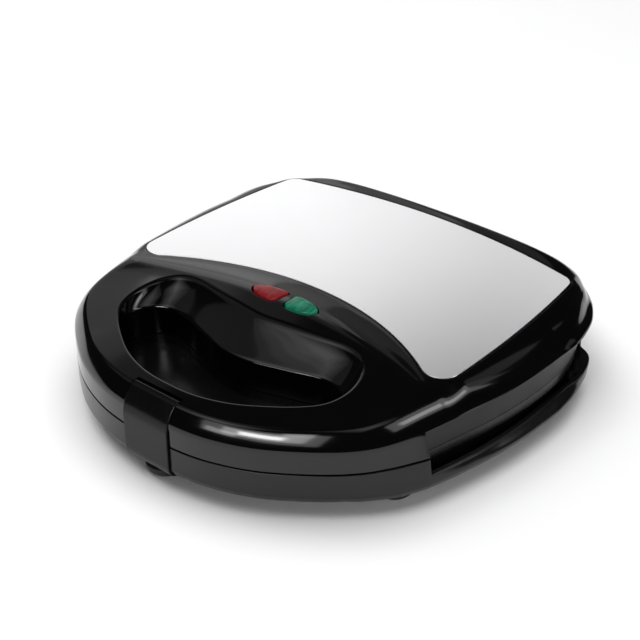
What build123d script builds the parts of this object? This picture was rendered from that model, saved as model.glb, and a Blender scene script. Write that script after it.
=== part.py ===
from build123d import *
import math
import os

os.makedirs("parts", exist_ok=True)

# ---------------------------------------------------------------- dimensions
# Millimetres. +Z up, handle towards -Y, hinge towards +Y, X is the hinge axis
# direction. Origin: centre of the footprint, on the surface it stands on.

Z_BOTTOM = 6.0        # underside of the base shell
Z_SEAM = 25.0         # parting plane between lid and base
SEAM_GAP = 0.3        # gap between the two bodies at the parting plane
Z_CREASE = 36.6       # lower edge of the lid's rounded shoulder
Z_PLATE = 50.0        # top face of the steel cover plate
WALL = 2.4            # shell wall
Z_LID0 = Z_SEAM + SEAM_GAP / 2
Z_BASE1 = Z_SEAM - SEAM_GAP / 2

SHOULDER_R = 27.2     # radius of the shoulder's section
SHOULDER_SIDE = 17.6  # width of the shoulder at the sides and rear
SHOULDER_FRONT = 13.5 # width of the shoulder round the handle

HINGE_Y = 120.7       # hinge axis
HINGE_Z = 25.0
HINGE_X = 62.0        # centre of each knuckle
KNUCKLE_R = 4.5
KNUCKLE_W = 14.0
EAR_W = 4.1
HINGE_PIN_R = 2.0

LATCH_Y = -115.8      # latch pivot
LATCH_Z = 41.2
LATCH_R = 4.4
LATCH_W = 28.4        # latch width
LATCH_SLOT = 29.2     # width of the slot it lies in
LATCH_PIN_R = 1.3

SLEEVE_X = 17.0       # where the lead sleeve leaves each half
SLEEVE_H = 7.4        # height of that point above or below the hinge axis

COOK_X = 103.0        # cooking plate half width
COOK_Y0, COOK_Y1 = -36.0, 90.0
COOK_R = 26.0
WELL_DEPTH = 6.0

POCKET_FLOOR = 20.0   # floor of the finger pocket in the base
SKIRT_RIM = 17.0      # top of the base skirt in the side recess
RECESS_Y0 = -53.6     # front end of the side recesses
RECESS_Y1 = 83.0      # their rear end in the base
RECESS_X = 76.6       # in the lid they run round the rear corners to here
Z_FLANGE = 36.4       # top of the inner wall under the lid's flange

# half outline of the body seen from above, front centre to rear centre
BODY = [(0, -124.2), (16, -123.7), (31, -121.5), (45, -117.2), (58, -111.2),
        (70, -103.4), (82, -94.2), (91.5, -85), (98.5, -74.8), (103.3, -62.5),
        (107, -48), (111.2, -29), (115, -10), (117.3, 10), (118, 30),
        (116.8, 48), (113.0, 66), (107.4, 79), (101.0, 90.4), (93.2, 100.4),
        (82, 108.8), (66, 114.7), (44, 118.2), (22, 119.7), (0, 120.1)]

# the same for the base, whose flanks end in a rounded corner ahead of the rear
BASE = BODY[:15] + [(118.0, 46), (117.4, 56), (116.6, 64), (115.0, 71),
                    (112.6, 76.4), (109.3, 79.8), (105.6, 82.2), (102.6, 85.4),
                    (98.9, 90.8), (93.0, 97.6), (85.0, 104.2), (76.3, 109.4),
                    (67, 113.3), (56, 116.2), (44, 118.2), (22, 119.7), (0, 120.1)]

# the same for the inner wall that stands in the side recesses
CORE = BODY[:15] + [(117.4, 42), (115.8, 53), (113.0, 63), (109.3, 72.4),
                    (104.9, 81.4), (99.4, 90.2), (93.0, 97.6), (85.0, 104.2),
                    (76.3, 109.4), (67, 113.3), (56, 116.2), (44, 118.2),
                    (22, 119.7), (0, 120.1)]

# half outline of the finger opening at the lid's top, at its lower edge
OPEN_TOP = [(0, -45.8), (14, -45.0), (30, -42.6), (40, -39.8), (47.5, -38.6),
            (54, -39.6), (59, -42), (63.5, -46.1), (67, -50.6), (69, -55.6),
            (70, -61.6), (69.8, -67.6), (68.3, -74.1), (65, -79.1),
            (59.3, -85.2), (52.8, -91.1), (45.4, -96.6), (36.4, -102.2),
            (26, -106.4), (14, -109.5), (0, -110.3)]
OPEN_LOW = [(0, -66.3), (11, -65.2), (24, -61.6), (34, -58.6), (42, -56.0),
            (49.5, -54.7), (55, -55.4), (59.3, -57.6), (62.5, -61.2),
            (64.4, -65.4), (65.2, -69.6), (64.8, -74.0), (63, -78.6),
            (60, -82.6), (55.8, -86.7), (50, -91.2), (43.4, -95.7),
            (35, -100.7), (25.4, -104.6), (13.8, -107.5), (0, -108.3)]
# how far the sloped wall's outline moves out (x, y) per mm of height
OPEN_LEAN = [(0, 1.75), (0.1, 1.75), (0.2, 1.6), (0.3, 1.5), (0.35, 1.4),
             (0.4, 1.3), (0.5, 1.2), (0.6, 1.0), (0.6, 0.8), (0.6, 0.5),
             (0.5, 0.2), (0.35, 0.0), (0.2, -0.05), (0.1, -0.05),
             (0.05, -0.05), (0.03, -0.05), (0.02, -0.05), (0, -0.05),
             (0, -0.05), (0, -0.05), (0, -0.05)]
Z_OPEN_LOW = 41.0     # height of the sloped wall's lower edge

# half outline of one indicator lens (mirrored for the other)
LENS = [(1.9, -27.4), (2.2, -21.2), (4.2, -20.2), (9, -20.3), (14, -21.4),
        (19, -24.2), (21.4, -27.6), (19.5, -31.1), (13.5, -33.9), (8, -34.3),
        (4.0, -33.7), (2.2, -31.6)]


# ---------------------------------------------------------------- helpers
def mirrored(half):
    """Closed loop of points from a half outline that starts and ends on x=0."""
    return half + [(-x, y) for x, y in reversed(half[1:-1])]


def closed(points):
    """Closed smooth outline through the points."""
    return Spline(*points, periodic=True)


def inset(points, dist):
    """Move every point of a closed loop along its normal (positive = inwards)."""
    n = len(points)
    area = sum(points[i][0] * points[(i + 1) % n][1]
               - points[(i + 1) % n][0] * points[i][1] for i in range(n))
    side = 1 if area > 0 else -1
    out = []
    for i, (x, y) in enumerate(points):
        ax, ay = points[i - 1]
        bx, by = points[(i + 1) % n]
        tx, ty = bx - ax, by - ay
        length = math.hypot(tx, ty)
        d = dist(x, y) if callable(dist) else dist
        out.append((x - side * ty / length * d, y + side * tx / length * d))
    return out


def lerp(table, v):
    """Piecewise linear table lookup."""
    if v <= table[0][0]:
        return table[0][1]
    for (a, fa), (b, fb) in zip(table, table[1:]):
        if v <= b:
            return fa + (fb - fa) * (v - a) / (b - a)
    return table[-1][1]


BODY_LOOP = mirrored(BODY)
BASE_LOOP = mirrored(BASE)
CORE_LOOP = mirrored(CORE)

# rise of the casing in front of the steel plate: section by distance ahead of
# the plate's front arc, turned about the arc's centre
ARC_R = 131.6
ARC_Y = -3.3 - ARC_R
SWELL = [(0, 0), (3, 0.25), (6, 0.78), (10, 1.65), (15, 2.86), (20, 4.15),
         (26, 5.7), (36, 8.4)]
# shoulder section: height below the plate, inset at the sides, inset at the
# rear corners, share of the flange's overhang
SHOULDER = [(-13.4, 0, 0, 1.0), (-11.8, 1.07, 0.1, 0.95), (-11.15, 1.5, 0.2, 0.6),
            (-9.01, 3, 0.5, 0.12), (-6.84, 5, 1.2, 0), (-4.55, 7.5, 2.8, 0),
            (-2.70, 10.5, 5.2, 0), (-1.07, 14, 8.2, 0), (0.0, 17.6, 11.5, 0)]
CORNER = [(45, 0), (80, 1), (104, 1), (114, 0.15)]      # where the corner section rules
FLANGE = [(30, 0), (48, 1.6), (56, 2.6), (66, 3.2), (78, 4.2), (88, 3.6),
          (96, 2.4), (106, 1.0), (114, 0)]              # overhang of the lid's flange


def shoulder_inset(side_e, corner_e, overhang):
    """Inward distance of one station of the shoulder's section."""
    def dist(x, y):
        m = lerp(CORNER, y)
        width = lerp([(-40, SHOULDER_FRONT), (0, SHOULDER_SIDE)], y) / SHOULDER_SIDE
        return (side_e * (1 - m) + corner_e * m) * width - overhang * lerp(FLANGE, y)
    return dist


def slope_tool(rise):
    """Everything above the gently sloped, crowned front of the lid."""
    with BuildPart() as tool:
        with BuildSketch(Plane.XZ.offset(140)):
            z0 = Z_PLATE + rise - 3.7 - 0.102 * 30.4
            with BuildLine():
                rim = ThreePointArc((-140, z0 - 9.6), (0, z0), (140, z0 - 9.6))
                Polyline(rim @ 1, (140, z0 + 60), (-140, z0 + 60), rim @ 0)
            make_face()
        extrude(amount=300, dir=(0, 300, 300 * 0.102))
    return tool.part


def swell_body(rise, grow):
    """Raised casing in front of the steel plate."""
    with BuildPart() as body:
        with BuildSketch(Plane.YZ):
            with BuildLine():
                top = Spline(*[(ARC_Y + ARC_R + grow - s, Z_PLATE + rise + h) for s, h in SWELL])
                Polyline(top @ 1, (ARC_Y, Z_PLATE + 9.5), (ARC_Y, 42),
                         (ARC_Y + ARC_R + grow, 42), top @ 0)
            make_face()
        revolve(axis=Axis((0, ARC_Y, 0), (0, 0, 1)), revolution_arc=360)
    return body.part


def outer_form(rise, extra, z0, first):
    """Outer form of the lid, shifted by rise and inset by extra."""
    with BuildPart() as form:
        with BuildSketch(Plane.XY.offset(z0)):
            with BuildLine():
                closed(inset(first, extra))
            make_face()
        for h, side_e, corner_e, overhang in SHOULDER:
            with BuildSketch(Plane.XY.offset(Z_PLATE + rise + h)):
                with BuildLine():
                    closed(inset(inset(BODY_LOOP, extra),
                                 shoulder_inset(side_e, corner_e, overhang)))
                make_face()
        loft(ruled=True)
        with BuildSketch(Plane.XY.offset(Z_PLATE + rise - 4)) as crown:
            with BuildLine():
                closed(inset(BODY_LOOP, 17.6 + extra))
            make_face()
        add(extrude(crown.sketch, amount=14, mode=Mode.PRIVATE) & swell_body(rise, 0))
        add(slope_tool(rise), mode=Mode.SUBTRACT)
    return form.part


# side offsets of the base from the body outline, by y
FLARE = [(-85, 0), (-74, 0.6), (-62, 2.6), (-53.8, 4.3), (40, 4.3), (66, 1.0), (80, 0)]
RIM = [(-88, 0), (-76, 1.2), (-68, 3.2), (-54.6, 5.6), (-27, 5.5), (-12, 4.2),
       (11, 3.0), (30, 2.0), (46, 1.6), (54, 2.8), (62, 2.4), (70, 1.6), (77, 1.0), (84, 0)]
BELLY = [(-88, 0), (-76, 2.0), (-68, 4.2), (-55, 6.4), (-45, 6.9), (-34, 7.3),
         (-22, 7.3), (-1, 7.0), (15, 6.8), (32, 6.8), (44, 5.6), (52, 4.4),
         (60, 3.0), (72, 1.2), (88, 0)]


def side(table):
    return lambda x, y: -lerp(table, y)


def drawn_in(points, dist):
    """Move every point inwards: along its normal in front, towards the middle behind."""
    moved = inset(points, 1.0)
    out = []
    for (x, y), (mx, my) in zip(points, moved):
        rx, ry = x - max(-80, min(80, x)), y - min(y, 50)
        size = math.hypot(rx, ry)
        t = max(0.0, min(1.0, (y - 20) / 25)) if size > 1e-6 else 0.0
        dx = (1 - t) * (x - mx) + (t * rx / size if t else 0)
        dy = (1 - t) * (y - my) + (t * ry / size if t else 0)
        length = math.hypot(dx, dy)
        out.append((x - dx / length * dist, y - dy / length * dist))
    return out


def recess_space(m, rear, corner):
    """Space of the two side recesses, shrunk by m at their ends."""
    with BuildPart() as space:
        with BuildSketch(Plane.XY):
            for s in (1, -1):
                with Locations((s * 110, (RECESS_Y0 + m + rear - m) / 2)):
                    Rectangle(60, rear - m - RECESS_Y0 - m)
                if corner:
                    with Locations((s * (RECESS_X + m + 140) / 2, 98)):
                        Rectangle(140 - RECESS_X - m, 64)
        extrude(amount=60)
    return space.part


def ring(loop, z0, z1, outer, inner):
    """Wall that follows a loop, between two insets."""
    with BuildPart() as wall:
        with BuildSketch(Plane.XY.offset(z0)):
            with BuildLine():
                closed(inset(loop, outer))
            make_face()
            with BuildLine():
                closed(inset(loop, inner))
            make_face(mode=Mode.SUBTRACT)
        extrude(amount=z1 - z0)
    return wall.part


# ---------------------------------------------------------------- lid shell
lid_loop = BODY_LOOP
flare_loop = inset(BODY_LOOP, side(FLARE))
lid_outer = outer_form(0, 0, Z_LID0, flare_loop)
lid_cavity = outer_form(-WALL, WALL, Z_LID0 - 1, BODY_LOOP)


def opening_loop(z, out):
    """Outline of the finger opening at height z, grown by out."""
    half = [(x + lx * (z - Z_OPEN_LOW), y + ly * (z - Z_OPEN_LOW))
            for (x, y), (lx, ly) in zip(OPEN_LOW, OPEN_LEAN)]
    return inset(mirrored(half), -out)


with BuildPart() as finger_wall:
    for z in (Z_OPEN_LOW - WALL, 54.5):
        with BuildSketch(Plane.XY.offset(z)):
            with BuildLine():
                closed(opening_loop(z + WALL, WALL))
            make_face()
    loft(ruled=True)
    with BuildSketch(Plane.XY.offset(Z_LID0)):
        with BuildLine():
            closed(opening_loop(Z_OPEN_LOW, WALL))
        make_face()
    extrude(amount=Z_OPEN_LOW - WALL - Z_LID0 + 0.5)

with BuildPart() as finger_cut:
    for z in (Z_OPEN_LOW, 58.0):
        with BuildSketch(Plane.XY.offset(z)):
            with BuildLine():
                closed(opening_loop(z, 0))
            make_face()
    loft(ruled=True)
    with BuildSketch(Plane.XY.offset(Z_LID0 - 1)):
        with BuildLine():
            closed(opening_loop(Z_OPEN_LOW, 0))
        make_face()
    extrude(amount=Z_OPEN_LOW - Z_LID0 + 1.2)


def plate_outline(grow):
    """Outline of the steel plate as four arcs, grown by grow."""
    g = grow
    front = ThreePointArc((-99.4 - g, -40.7 - g), (0, -3.3 - g), (99.4 + g, -40.7 - g))
    right = ThreePointArc(front @ 1, (100.4 + g, 25), (94.6 + g, 86.4 + g))
    rear = ThreePointArc(right @ 1, (0, 99.4 + g), (-94.6 - g, 86.4 + g))
    ThreePointArc(rear @ 1, (-100.4 - g, 25), front @ 0)


def plate_prism(z0, z1, grow):
    with BuildPart() as prism:
        with BuildSketch(Plane.XY.offset(z0)):
            with BuildLine():
                plate_outline(grow)
            make_face()
        extrude(amount=z1 - z0)
        corners = prism.edges().filter_by(Axis.Z)
        fillet(corners.sort_by(Axis.Y)[:2], 9.6 + grow)
        corners = prism.edges().filter_by(Axis.Z).sort_by(Axis.Y)
        fillet(corners[-2:], 8.0 + grow)
    return prism.part


LID_BOSSES = [(s * x, y) for x, y in ((108.2, 20), (80, -70), (76, 96.5)) for s in (1, -1)]

# plans of the blocks and bosses inside the lid
with BuildSketch(Plane.XY.offset(Z_LID0)) as latch_block:
    with Locations((0, -116.6)):
        Rectangle(LATCH_SLOT + 5.6, 12.4)

with BuildSketch(Plane.XY.offset(27.5)) as lid_boss:
    with Locations(*LID_BOSSES):
        Circle(3.6)

with BuildSketch(Plane.XY.offset(43)) as lamp_boss:
    with Locations((26, -27), (-26, -27)):
        Circle(2.8)

with BuildPart() as lid_shell:
    add(lid_outer)
    add(lid_cavity, mode=Mode.SUBTRACT)
    add(finger_wall.part & lid_outer)
    add(finger_cut.part, mode=Mode.SUBTRACT)
    # recess for the steel plate
    add(plate_prism(Z_PLATE - 0.9, Z_PLATE + 12, 0.35), mode=Mode.SUBTRACT)
    # side recesses: no wall below the shoulder
    with BuildPart(mode=Mode.PRIVATE) as below_flange:
        add(recess_space(0, 90, True))
        split(bisect_by=Plane.XY.offset(Z_CREASE), keep=Keep.BOTTOM)
    add(below_flange.part, mode=Mode.SUBTRACT)
    # block at the front that carries the latch pin
    add(extrude(latch_block.sketch, amount=24, mode=Mode.PRIVATE) & lid_outer)
    # room for the latch
    with BuildSketch(Plane.YZ):
        with Locations((LATCH_Y, LATCH_Z)):
            Circle(LATCH_R + 0.5)
        with BuildLine():
            Polyline((-121.6, Z_LID0 - 1), (-121.6, 35.6), (-118.4, 37.4),
                     (LATCH_Y, LATCH_Z), (LATCH_Y - 1.5, 49), (-130, 49),
                     (-130, Z_LID0 - 1), close=True)
        make_face()
    extrude(amount=LATCH_SLOT / 2, both=True, mode=Mode.SUBTRACT)
    with BuildSketch(Plane.YZ):
        with Locations((LATCH_Y, LATCH_Z)):
            Circle(LATCH_PIN_R + 0.01)
    extrude(amount=17.0, both=True, mode=Mode.SUBTRACT)
    # lens windows
    for s in (1, -1):
        with BuildSketch(Plane.XY.offset(46)):
            with BuildLine():
                closed([(s * x, y) for x, y in inset(LENS, -0.15)])
            make_face()
        extrude(amount=14, mode=Mode.SUBTRACT)

    # screw bosses, each with a blind hole for its screw
    add(extrude(lid_boss.sketch, amount=24, mode=Mode.PRIVATE) & lid_outer)
    with BuildSketch(Plane.XY.offset(26)):
        with Locations(*LID_BOSSES):
            Circle(1.5)
    extrude(amount=12.5, mode=Mode.SUBTRACT)
    # bosses that carry the lamp holder
    add(extrude(lamp_boss.sketch, amount=14, mode=Mode.PRIVATE) & lid_outer)
    with BuildSketch(Plane.XY.offset(42)):
        with Locations((26, -27), (-26, -27)):
            Circle(1.2)
    extrude(amount=7, mode=Mode.SUBTRACT)
    # knuckles on arms behind the rear wall
    for s in (1, -1):
        with BuildSketch(Plane.YZ.offset(s * HINGE_X)):
            with Locations((HINGE_Y, HINGE_Z)):
                Circle(KNUCKLE_R)
            with BuildLine():
                Polyline((110.5, Z_LID0), (HINGE_Y, Z_LID0), (HINGE_Y, HINGE_Z + KNUCKLE_R),
                         (116.0, 33.5), (110.5, 33.5), close=True)
            make_face()
        extrude(amount=KNUCKLE_W / 2, both=True)
        with BuildSketch(Plane.YZ.offset(s * HINGE_X)):
            with Locations((HINGE_Y, HINGE_Z)):
                Circle(HINGE_PIN_R + 0.06)
        extrude(amount=KNUCKLE_W / 2 + 1, both=True, mode=Mode.SUBTRACT)
        # room for the base's ears on both sides of each knuckle
        for t in (1, -1):
            with BuildSketch(Plane.YZ.offset(s * HINGE_X + t * (KNUCKLE_W / 2 + 0.05))):
                with Locations((HINGE_Y, HINGE_Z)):
                    Circle(KNUCKLE_R + 0.5)
            extrude(amount=t * (EAR_W + 0.8), mode=Mode.SUBTRACT)
    # pad behind the rear wall, with a channel for the lead sleeve
    with BuildSketch(Plane.XY.offset(Z_LID0)):
        with Locations((0, 116.4)):
            Rectangle(52, 3.4)
    extrude(amount=10)
    with BuildSketch(Plane.YZ):
        with Locations((HINGE_Y, HINGE_Z)):
            Circle(2.9)
    extrude(amount=26, both=True, mode=Mode.SUBTRACT)
    with BuildSketch(Plane.XY.offset(HINGE_Z)):
        with Locations((SLEEVE_X, HINGE_Y)):
            Circle(2.3)
    extrude(amount=SLEEVE_H, mode=Mode.SUBTRACT)
    with BuildSketch(Plane.XZ.offset(-HINGE_Y)):
        with Locations((SLEEVE_X, HINGE_Z + SLEEVE_H)):
            Circle(2.3)
    extrude(amount=9, mode=Mode.SUBTRACT)
    with BuildSketch(Plane.XZ.offset(-HINGE_Y)):
        with Locations((SLEEVE_X, HINGE_Z + SLEEVE_H)):
            Circle(2.3)
    extrude(amount=-4, mode=Mode.SUBTRACT)


# ---------------------------------------------------------------- lid parts
lid_plate = plate_prism(Z_PLATE - 0.9, Z_PLATE, 0.0)

with BuildPart() as lid_cover_plate:
    add(lid_plate)
    chamfer(lid_cover_plate.faces().sort_by(Axis.Z)[-1].edges(), 0.25)


def rounded(x0, x1, y0, y1, r):
    with Locations(((x0 + x1) / 2, (y0 + y1) / 2)):
        RectangleRounded(x1 - x0, y1 - y0, r)


# what stands in the lid's side recesses: a band at the parting plane, the inner
# wall above it and the ledge that closes the flange from below
with BuildPart() as lid_band:
    with BuildSketch(Plane.XY.offset(Z_LID0)):
        with BuildLine():
            closed(inset(CORE_LOOP, 1.0))
        make_face()
    extrude(amount=2.2)
    add(ring(CORE_LOOP, Z_LID0, Z_FLANGE, 1.0, 2.9))
    with BuildSketch(Plane.XY.offset(Z_FLANGE - 1.4)):
        with BuildLine():
            closed(inset(BODY_LOOP, lambda x, y: 1.0 - 0.8 * lerp(FLANGE, y)))
        make_face()
        with BuildLine():
            closed(inset(CORE_LOOP, 2.0))
        make_face(mode=Mode.SUBTRACT)
    extrude(amount=1.4)
    add(recess_space(0.3, 90, True), mode=Mode.INTERSECT)

with BuildPart() as lid_frame:
    with BuildSketch(Plane.XY.offset(Z_LID0)):
        with BuildLine():
            closed(inset(CORE_LOOP, WALL + 0.15))
        make_face()
    extrude(amount=2.2)
    add(lid_band.part)
    with BuildSketch(Plane.XY.offset(Z_LID0 - 1)):
        rounded(-COOK_X - 0.4, COOK_X + 0.4, COOK_Y0 - 0.4, COOK_Y1 + 0.4, COOK_R)
    extrude(amount=6, mode=Mode.SUBTRACT)
    with BuildSketch(Plane.XY.offset(Z_LID0 - 1)):
        with BuildLine():
            closed(opening_loop(Z_OPEN_LOW, WALL + 0.15))
        make_face()
    extrude(amount=6, mode=Mode.SUBTRACT)
    # room for the latch block and for the pad behind the rear wall
    with BuildSketch(Plane.XY.offset(Z_LID0 - 1)):
        with Locations((0, -120)):
            Rectangle(LATCH_SLOT + 6, 19.5)
        with Locations((0, 118)):
            Rectangle(54, 7)
    extrude(amount=6, mode=Mode.SUBTRACT)
    with BuildSketch(Plane.XY.offset(Z_LID0)):
        with Locations(*LID_BOSSES):
            Circle(1.7)
    extrude(amount=4, mode=Mode.SUBTRACT)
    with BuildSketch(Plane.XY.offset(Z_LID0)):
        with Locations(*LID_BOSSES):
            Circle(3.1)
    extrude(amount=1.2, mode=Mode.SUBTRACT)
    # clearance round the hinge knuckles
    for s in (1, -1):
        with BuildSketch(Plane.XY.offset(Z_LID0 - 1)):
            with Locations((s * HINGE_X, 116)):
                Rectangle(KNUCKLE_W + 2 * EAR_W + 2.4, 11.6)
        extrude(amount=6, mode=Mode.SUBTRACT)

with BuildPart() as lid_frame_screws:
    with BuildSketch(Plane.XY.offset(Z_LID0 + 0.15)):
        with Locations(*LID_BOSSES):
            Circle(2.9)
    extrude(amount=1.05)
    with BuildSketch(Plane.XY.offset(Z_LID0 + 1.2)):
        with Locations(*LID_BOSSES):
            Circle(1.48)
    extrude(amount=10.5)
    with BuildSketch(Plane.XY.offset(Z_LID0 + 0.15)):
        with Locations(*LID_BOSSES):
            Rectangle(3.2, 0.6)
            Rectangle(0.6, 3.2)
    extrude(amount=0.7, mode=Mode.SUBTRACT)


def cooking_plate(z_face, up):
    """Cast plate with four triangular wells; up is +1 for the lower plate."""
    thick = 8.4
    with BuildPart() as plate:
        with BuildSketch(Plane.XY.offset(z_face - (thick if up > 0 else 0))):
            rounded(-COOK_X, COOK_X, COOK_Y0, COOK_Y1, COOK_R)
        extrude(amount=thick)
        for sx in (1, -1):
            for tri in (((7, -24), (7, 76), (91, 80)), ((13, -28), (97, 74), (97, -24))):
                with BuildSketch(Plane.XY.offset(z_face)) as well:
                    with BuildLine():
                        Polyline(*[(sx * x, y) for x, y in tri], close=True)
                    make_face()
                    fillet(well.vertices(), 5)
                extrude(amount=-up * WELL_DEPTH, taper=24, mode=Mode.SUBTRACT)
        back = z_face - up * thick
        with BuildSketch(Plane.XY.offset(back)):
            with Locations((50, -32), (-50, -32), (50, 86), (-50, 86)):
                Circle(1.5)
        extrude(amount=up * 5, mode=Mode.SUBTRACT)
    return plate


lower_plate = cooking_plate(24.7, 1)

with BuildPart() as upper_plate:
    mirror(lower_plate.part, about=Plane.XY.offset(Z_SEAM))


def heater(z, flip):
    """Tubular element in a long loop, with its two cold ends."""
    def p(x, y):
        return (x, (54 - y) if flip else y, z)
    with BuildPart() as rod:
        with BuildLine() as path:
            FilletPolyline(p(-24, 82), p(-24, 58), p(-78, 58), p(-78, -12), p(78, -12),
                           p(78, 58), p(24, 58), p(24, 82), radius=12)
        with BuildSketch(Plane(origin=path.line @ 0, z_dir=path.line % 0)):
            Circle(2.4)
        sweep()
        for s in (1, -1):
            with BuildSketch(Plane.XZ.offset(-p(0, 82)[1])):
                with Locations((s * 24, z)):
                    Circle(1.2)
            extrude(amount=(1 if flip else -1) * 6)
    return rod


lower_heater = heater(13.9, False)
upper_heater = heater(36.1, True)

PLATE_SCREWS = ((50, -32), (-50, -32), (50, 86), (-50, 86))


def reflector(z_rim, up, ends):
    """Shallow sheet pan behind a cooking plate."""
    sgn = -up
    with BuildPart() as pan:
        with BuildSketch(Plane.XY.offset(z_rim)):
            rounded(-COOK_X + 1, COOK_X - 1, COOK_Y0 + 1, COOK_Y1 - 1, COOK_R - 1)
        extrude(amount=sgn * 5.9)
        with BuildSketch(Plane.XY.offset(z_rim)):
            rounded(-COOK_X + 1.8, COOK_X - 1.8, COOK_Y0 + 1.8, COOK_Y1 - 1.8, COOK_R - 1.8)
        extrude(amount=sgn * 5.1, mode=Mode.SUBTRACT)
        # slots for the ends of the heating element
        with BuildSketch(Plane.XY.offset(z_rim)):
            with Locations((24, ends), (-24, ends)):
                Rectangle(6.4, 6)
        extrude(amount=sgn * 5.1, mode=Mode.SUBTRACT)
        with BuildSketch(Plane.XY.offset(z_rim)):
            with Locations(*PLATE_SCREWS):
                Circle(1.7)
        extrude(amount=sgn * 7, mode=Mode.SUBTRACT)
        with BuildSketch(Plane.XY.offset(z_rim)):
            with Locations((0, 27)):
                Circle(9.6)
        extrude(amount=sgn * 7, mode=Mode.SUBTRACT)
    return pan


lower_reflector = reflector(16.3, 1, COOK_Y1 - 1)
upper_reflector = reflector(33.7, -1, COOK_Y0 + 1)


def plate_screws(z_head, up):
    """Four screws that hold a cooking plate to its reflector."""
    with BuildPart() as group:
        with BuildSketch(Plane.XY.offset(z_head)):
            with Locations(*PLATE_SCREWS):
                RegularPolygon(2.9, 6)
        extrude(amount=-up * 1.5)
        with BuildSketch(Plane.XY.offset(z_head)):
            with Locations(*PLATE_SCREWS):
                Circle(1.47)
        extrude(amount=up * 10.4)
    return group


lower_plate_screws = plate_screws(10.4, 1)
upper_plate_screws = plate_screws(39.6, -1)

with BuildPart() as thermostat:
    with BuildSketch(Plane.XY.offset(9.0)):
        with Locations((0, 27)):
            Circle(8.4)
    extrude(amount=4.6)
    with BuildSketch(Plane.XY.offset(13.6)):
        with Locations((0, 27)):
            Circle(9.0)
    extrude(amount=2.7)
    fillet(thermostat.faces().sort_by(Axis.Z)[0].edges(), 0.6)

with BuildPart() as thermal_fuse:
    with BuildSketch(Plane.YZ.offset(26)):
        with Locations((27, 14.3)):
            Circle(2.0)
    extrude(amount=16)
    with BuildSketch(Plane.YZ.offset(18)):
        with Locations((27, 14.3)):
            Circle(0.6)
    extrude(amount=32)

# ---------------------------------------------------------------- lenses, lamps
def lens(s):
    with BuildPart() as leaf:
        with BuildSketch(Plane.XY.offset(48.5)):
            with BuildLine():
                closed([(s * x, y) for x, y in LENS])
            make_face()
        extrude(amount=7.2)
        add(slope_tool(0.9), mode=Mode.SUBTRACT)
        with BuildSketch(Plane.XY.offset(48.5)):
            with BuildLine():
                closed([(s * x, y) for x, y in inset(LENS, 1.5)])
            make_face()
        extrude(amount=3.6, mode=Mode.SUBTRACT)
    return leaf


red_lens = lens(-1)
green_lens = lens(1)

with BuildPart() as lamp_holder:
    with BuildSketch(Plane.XY.offset(40.8)):
        with Locations((0, -27)):
            RectangleRounded(60, 12, 3)
    extrude(amount=2.2)
    with BuildSketch(Plane.XY.offset(43)):
        with Locations((5, -27), (18, -27), (-5, -27), (-18, -27)):
            Rectangle(1.6, 7)
    extrude(amount=1.8)
    with BuildSketch(Plane.XY.offset(40)):
        with Locations((26, -27), (-26, -27)):
            Circle(1.3)
    extrude(amount=4, mode=Mode.SUBTRACT)

with BuildPart() as lamp_holder_screws:
    with BuildSketch(Plane.XY.offset(39.6)):
        with Locations((26, -27), (-26, -27)):
            Circle(2.4)
    extrude(amount=1.2)
    with BuildSketch(Plane.XY.offset(40.8)):
        with Locations((26, -27), (-26, -27)):
            Circle(1.17)
    extrude(amount=7.5)

with BuildPart() as neon_lamps:
    with BuildSketch(Plane.YZ.offset(6.9)):
        with Locations((-27, 47.3)):
            Circle(2.4)
    extrude(amount=9)
    with BuildSketch(Plane.YZ.offset(-6.9)):
        with Locations((-27, 47.3)):
            Circle(2.4)
    extrude(amount=-9)


def lead_sleeve(s):
    """Half of the sleeved leads that run along the hinge axis; s=1 is the lid's."""
    x, z = s * SLEEVE_X, HINGE_Z + s * SLEEVE_H
    with BuildPart() as sleeve:
        with BuildLine() as path:
            FilletPolyline((x, 113.4, z), (x, HINGE_Y, z), (x, HINGE_Y, HINGE_Z),
                           (s * 0.2, HINGE_Y, HINGE_Z), radius=3.3)
        with BuildSketch(Plane(origin=path.line @ 0, z_dir=path.line % 0)):
            Circle(2.0)
        sweep()
    return sleeve


hinge_lead_upper = lead_sleeve(1)
hinge_lead_lower = lead_sleeve(-1)

# ---------------------------------------------------------------- base shell
BASE_STATIONS = [(Z_BASE1, FLARE, 0.0), (SKIRT_RIM, RIM, 0.0), (12.5, BELLY, 0.0),
                 (10.2, BELLY, 0.9), (8.2, BELLY, 2.6), (6.8, BELLY, 4.9),
                 (Z_BOTTOM, BELLY, 7.6)]
CAVITY_STATIONS = [(Z_BASE1 + 1, FLARE, WALL), (SKIRT_RIM, RIM, WALL),
                   (12.5, BELLY, WALL + 0.1), (10.4, BELLY, WALL + 1.2),
                   (Z_BOTTOM + WALL, BELLY, WALL + 3.4)]


def station_loft(stations):
    with BuildPart() as form:
        for z, table, more in stations:
            with BuildSketch(Plane.XY.offset(z)):
                with BuildLine():
                    closed(drawn_in(inset(BASE_LOOP, side(table)), more))
                make_face()
        loft(ruled=True)
    return form.part


base_outer = station_loft(BASE_STATIONS)
base_cavity = station_loft(CAVITY_STATIONS)

FEET = [(0, -112.6), (92, -57.6), (-92, -57.6), (81, 84), (-81, 84)]
INLET_Z = 13.5

# plan of the block that walls the latch's slot
with BuildSketch(Plane.XY.offset(Z_BOTTOM)) as latch_well:
    with Locations((0, -120.4)):
        Rectangle(LATCH_SLOT + 4.8, 10.0)

with BuildPart() as rear_ledge:
    with BuildSketch(Plane.XY.offset(SKIRT_RIM - 2)):
        for s in (1, -1):
            with Locations((s * 115, 72)):
                Rectangle(50, 24)
        with BuildLine():
            closed(inset(CORE_LOOP, 2.3))
        make_face(mode=Mode.SUBTRACT)
    extrude(amount=2)

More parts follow.
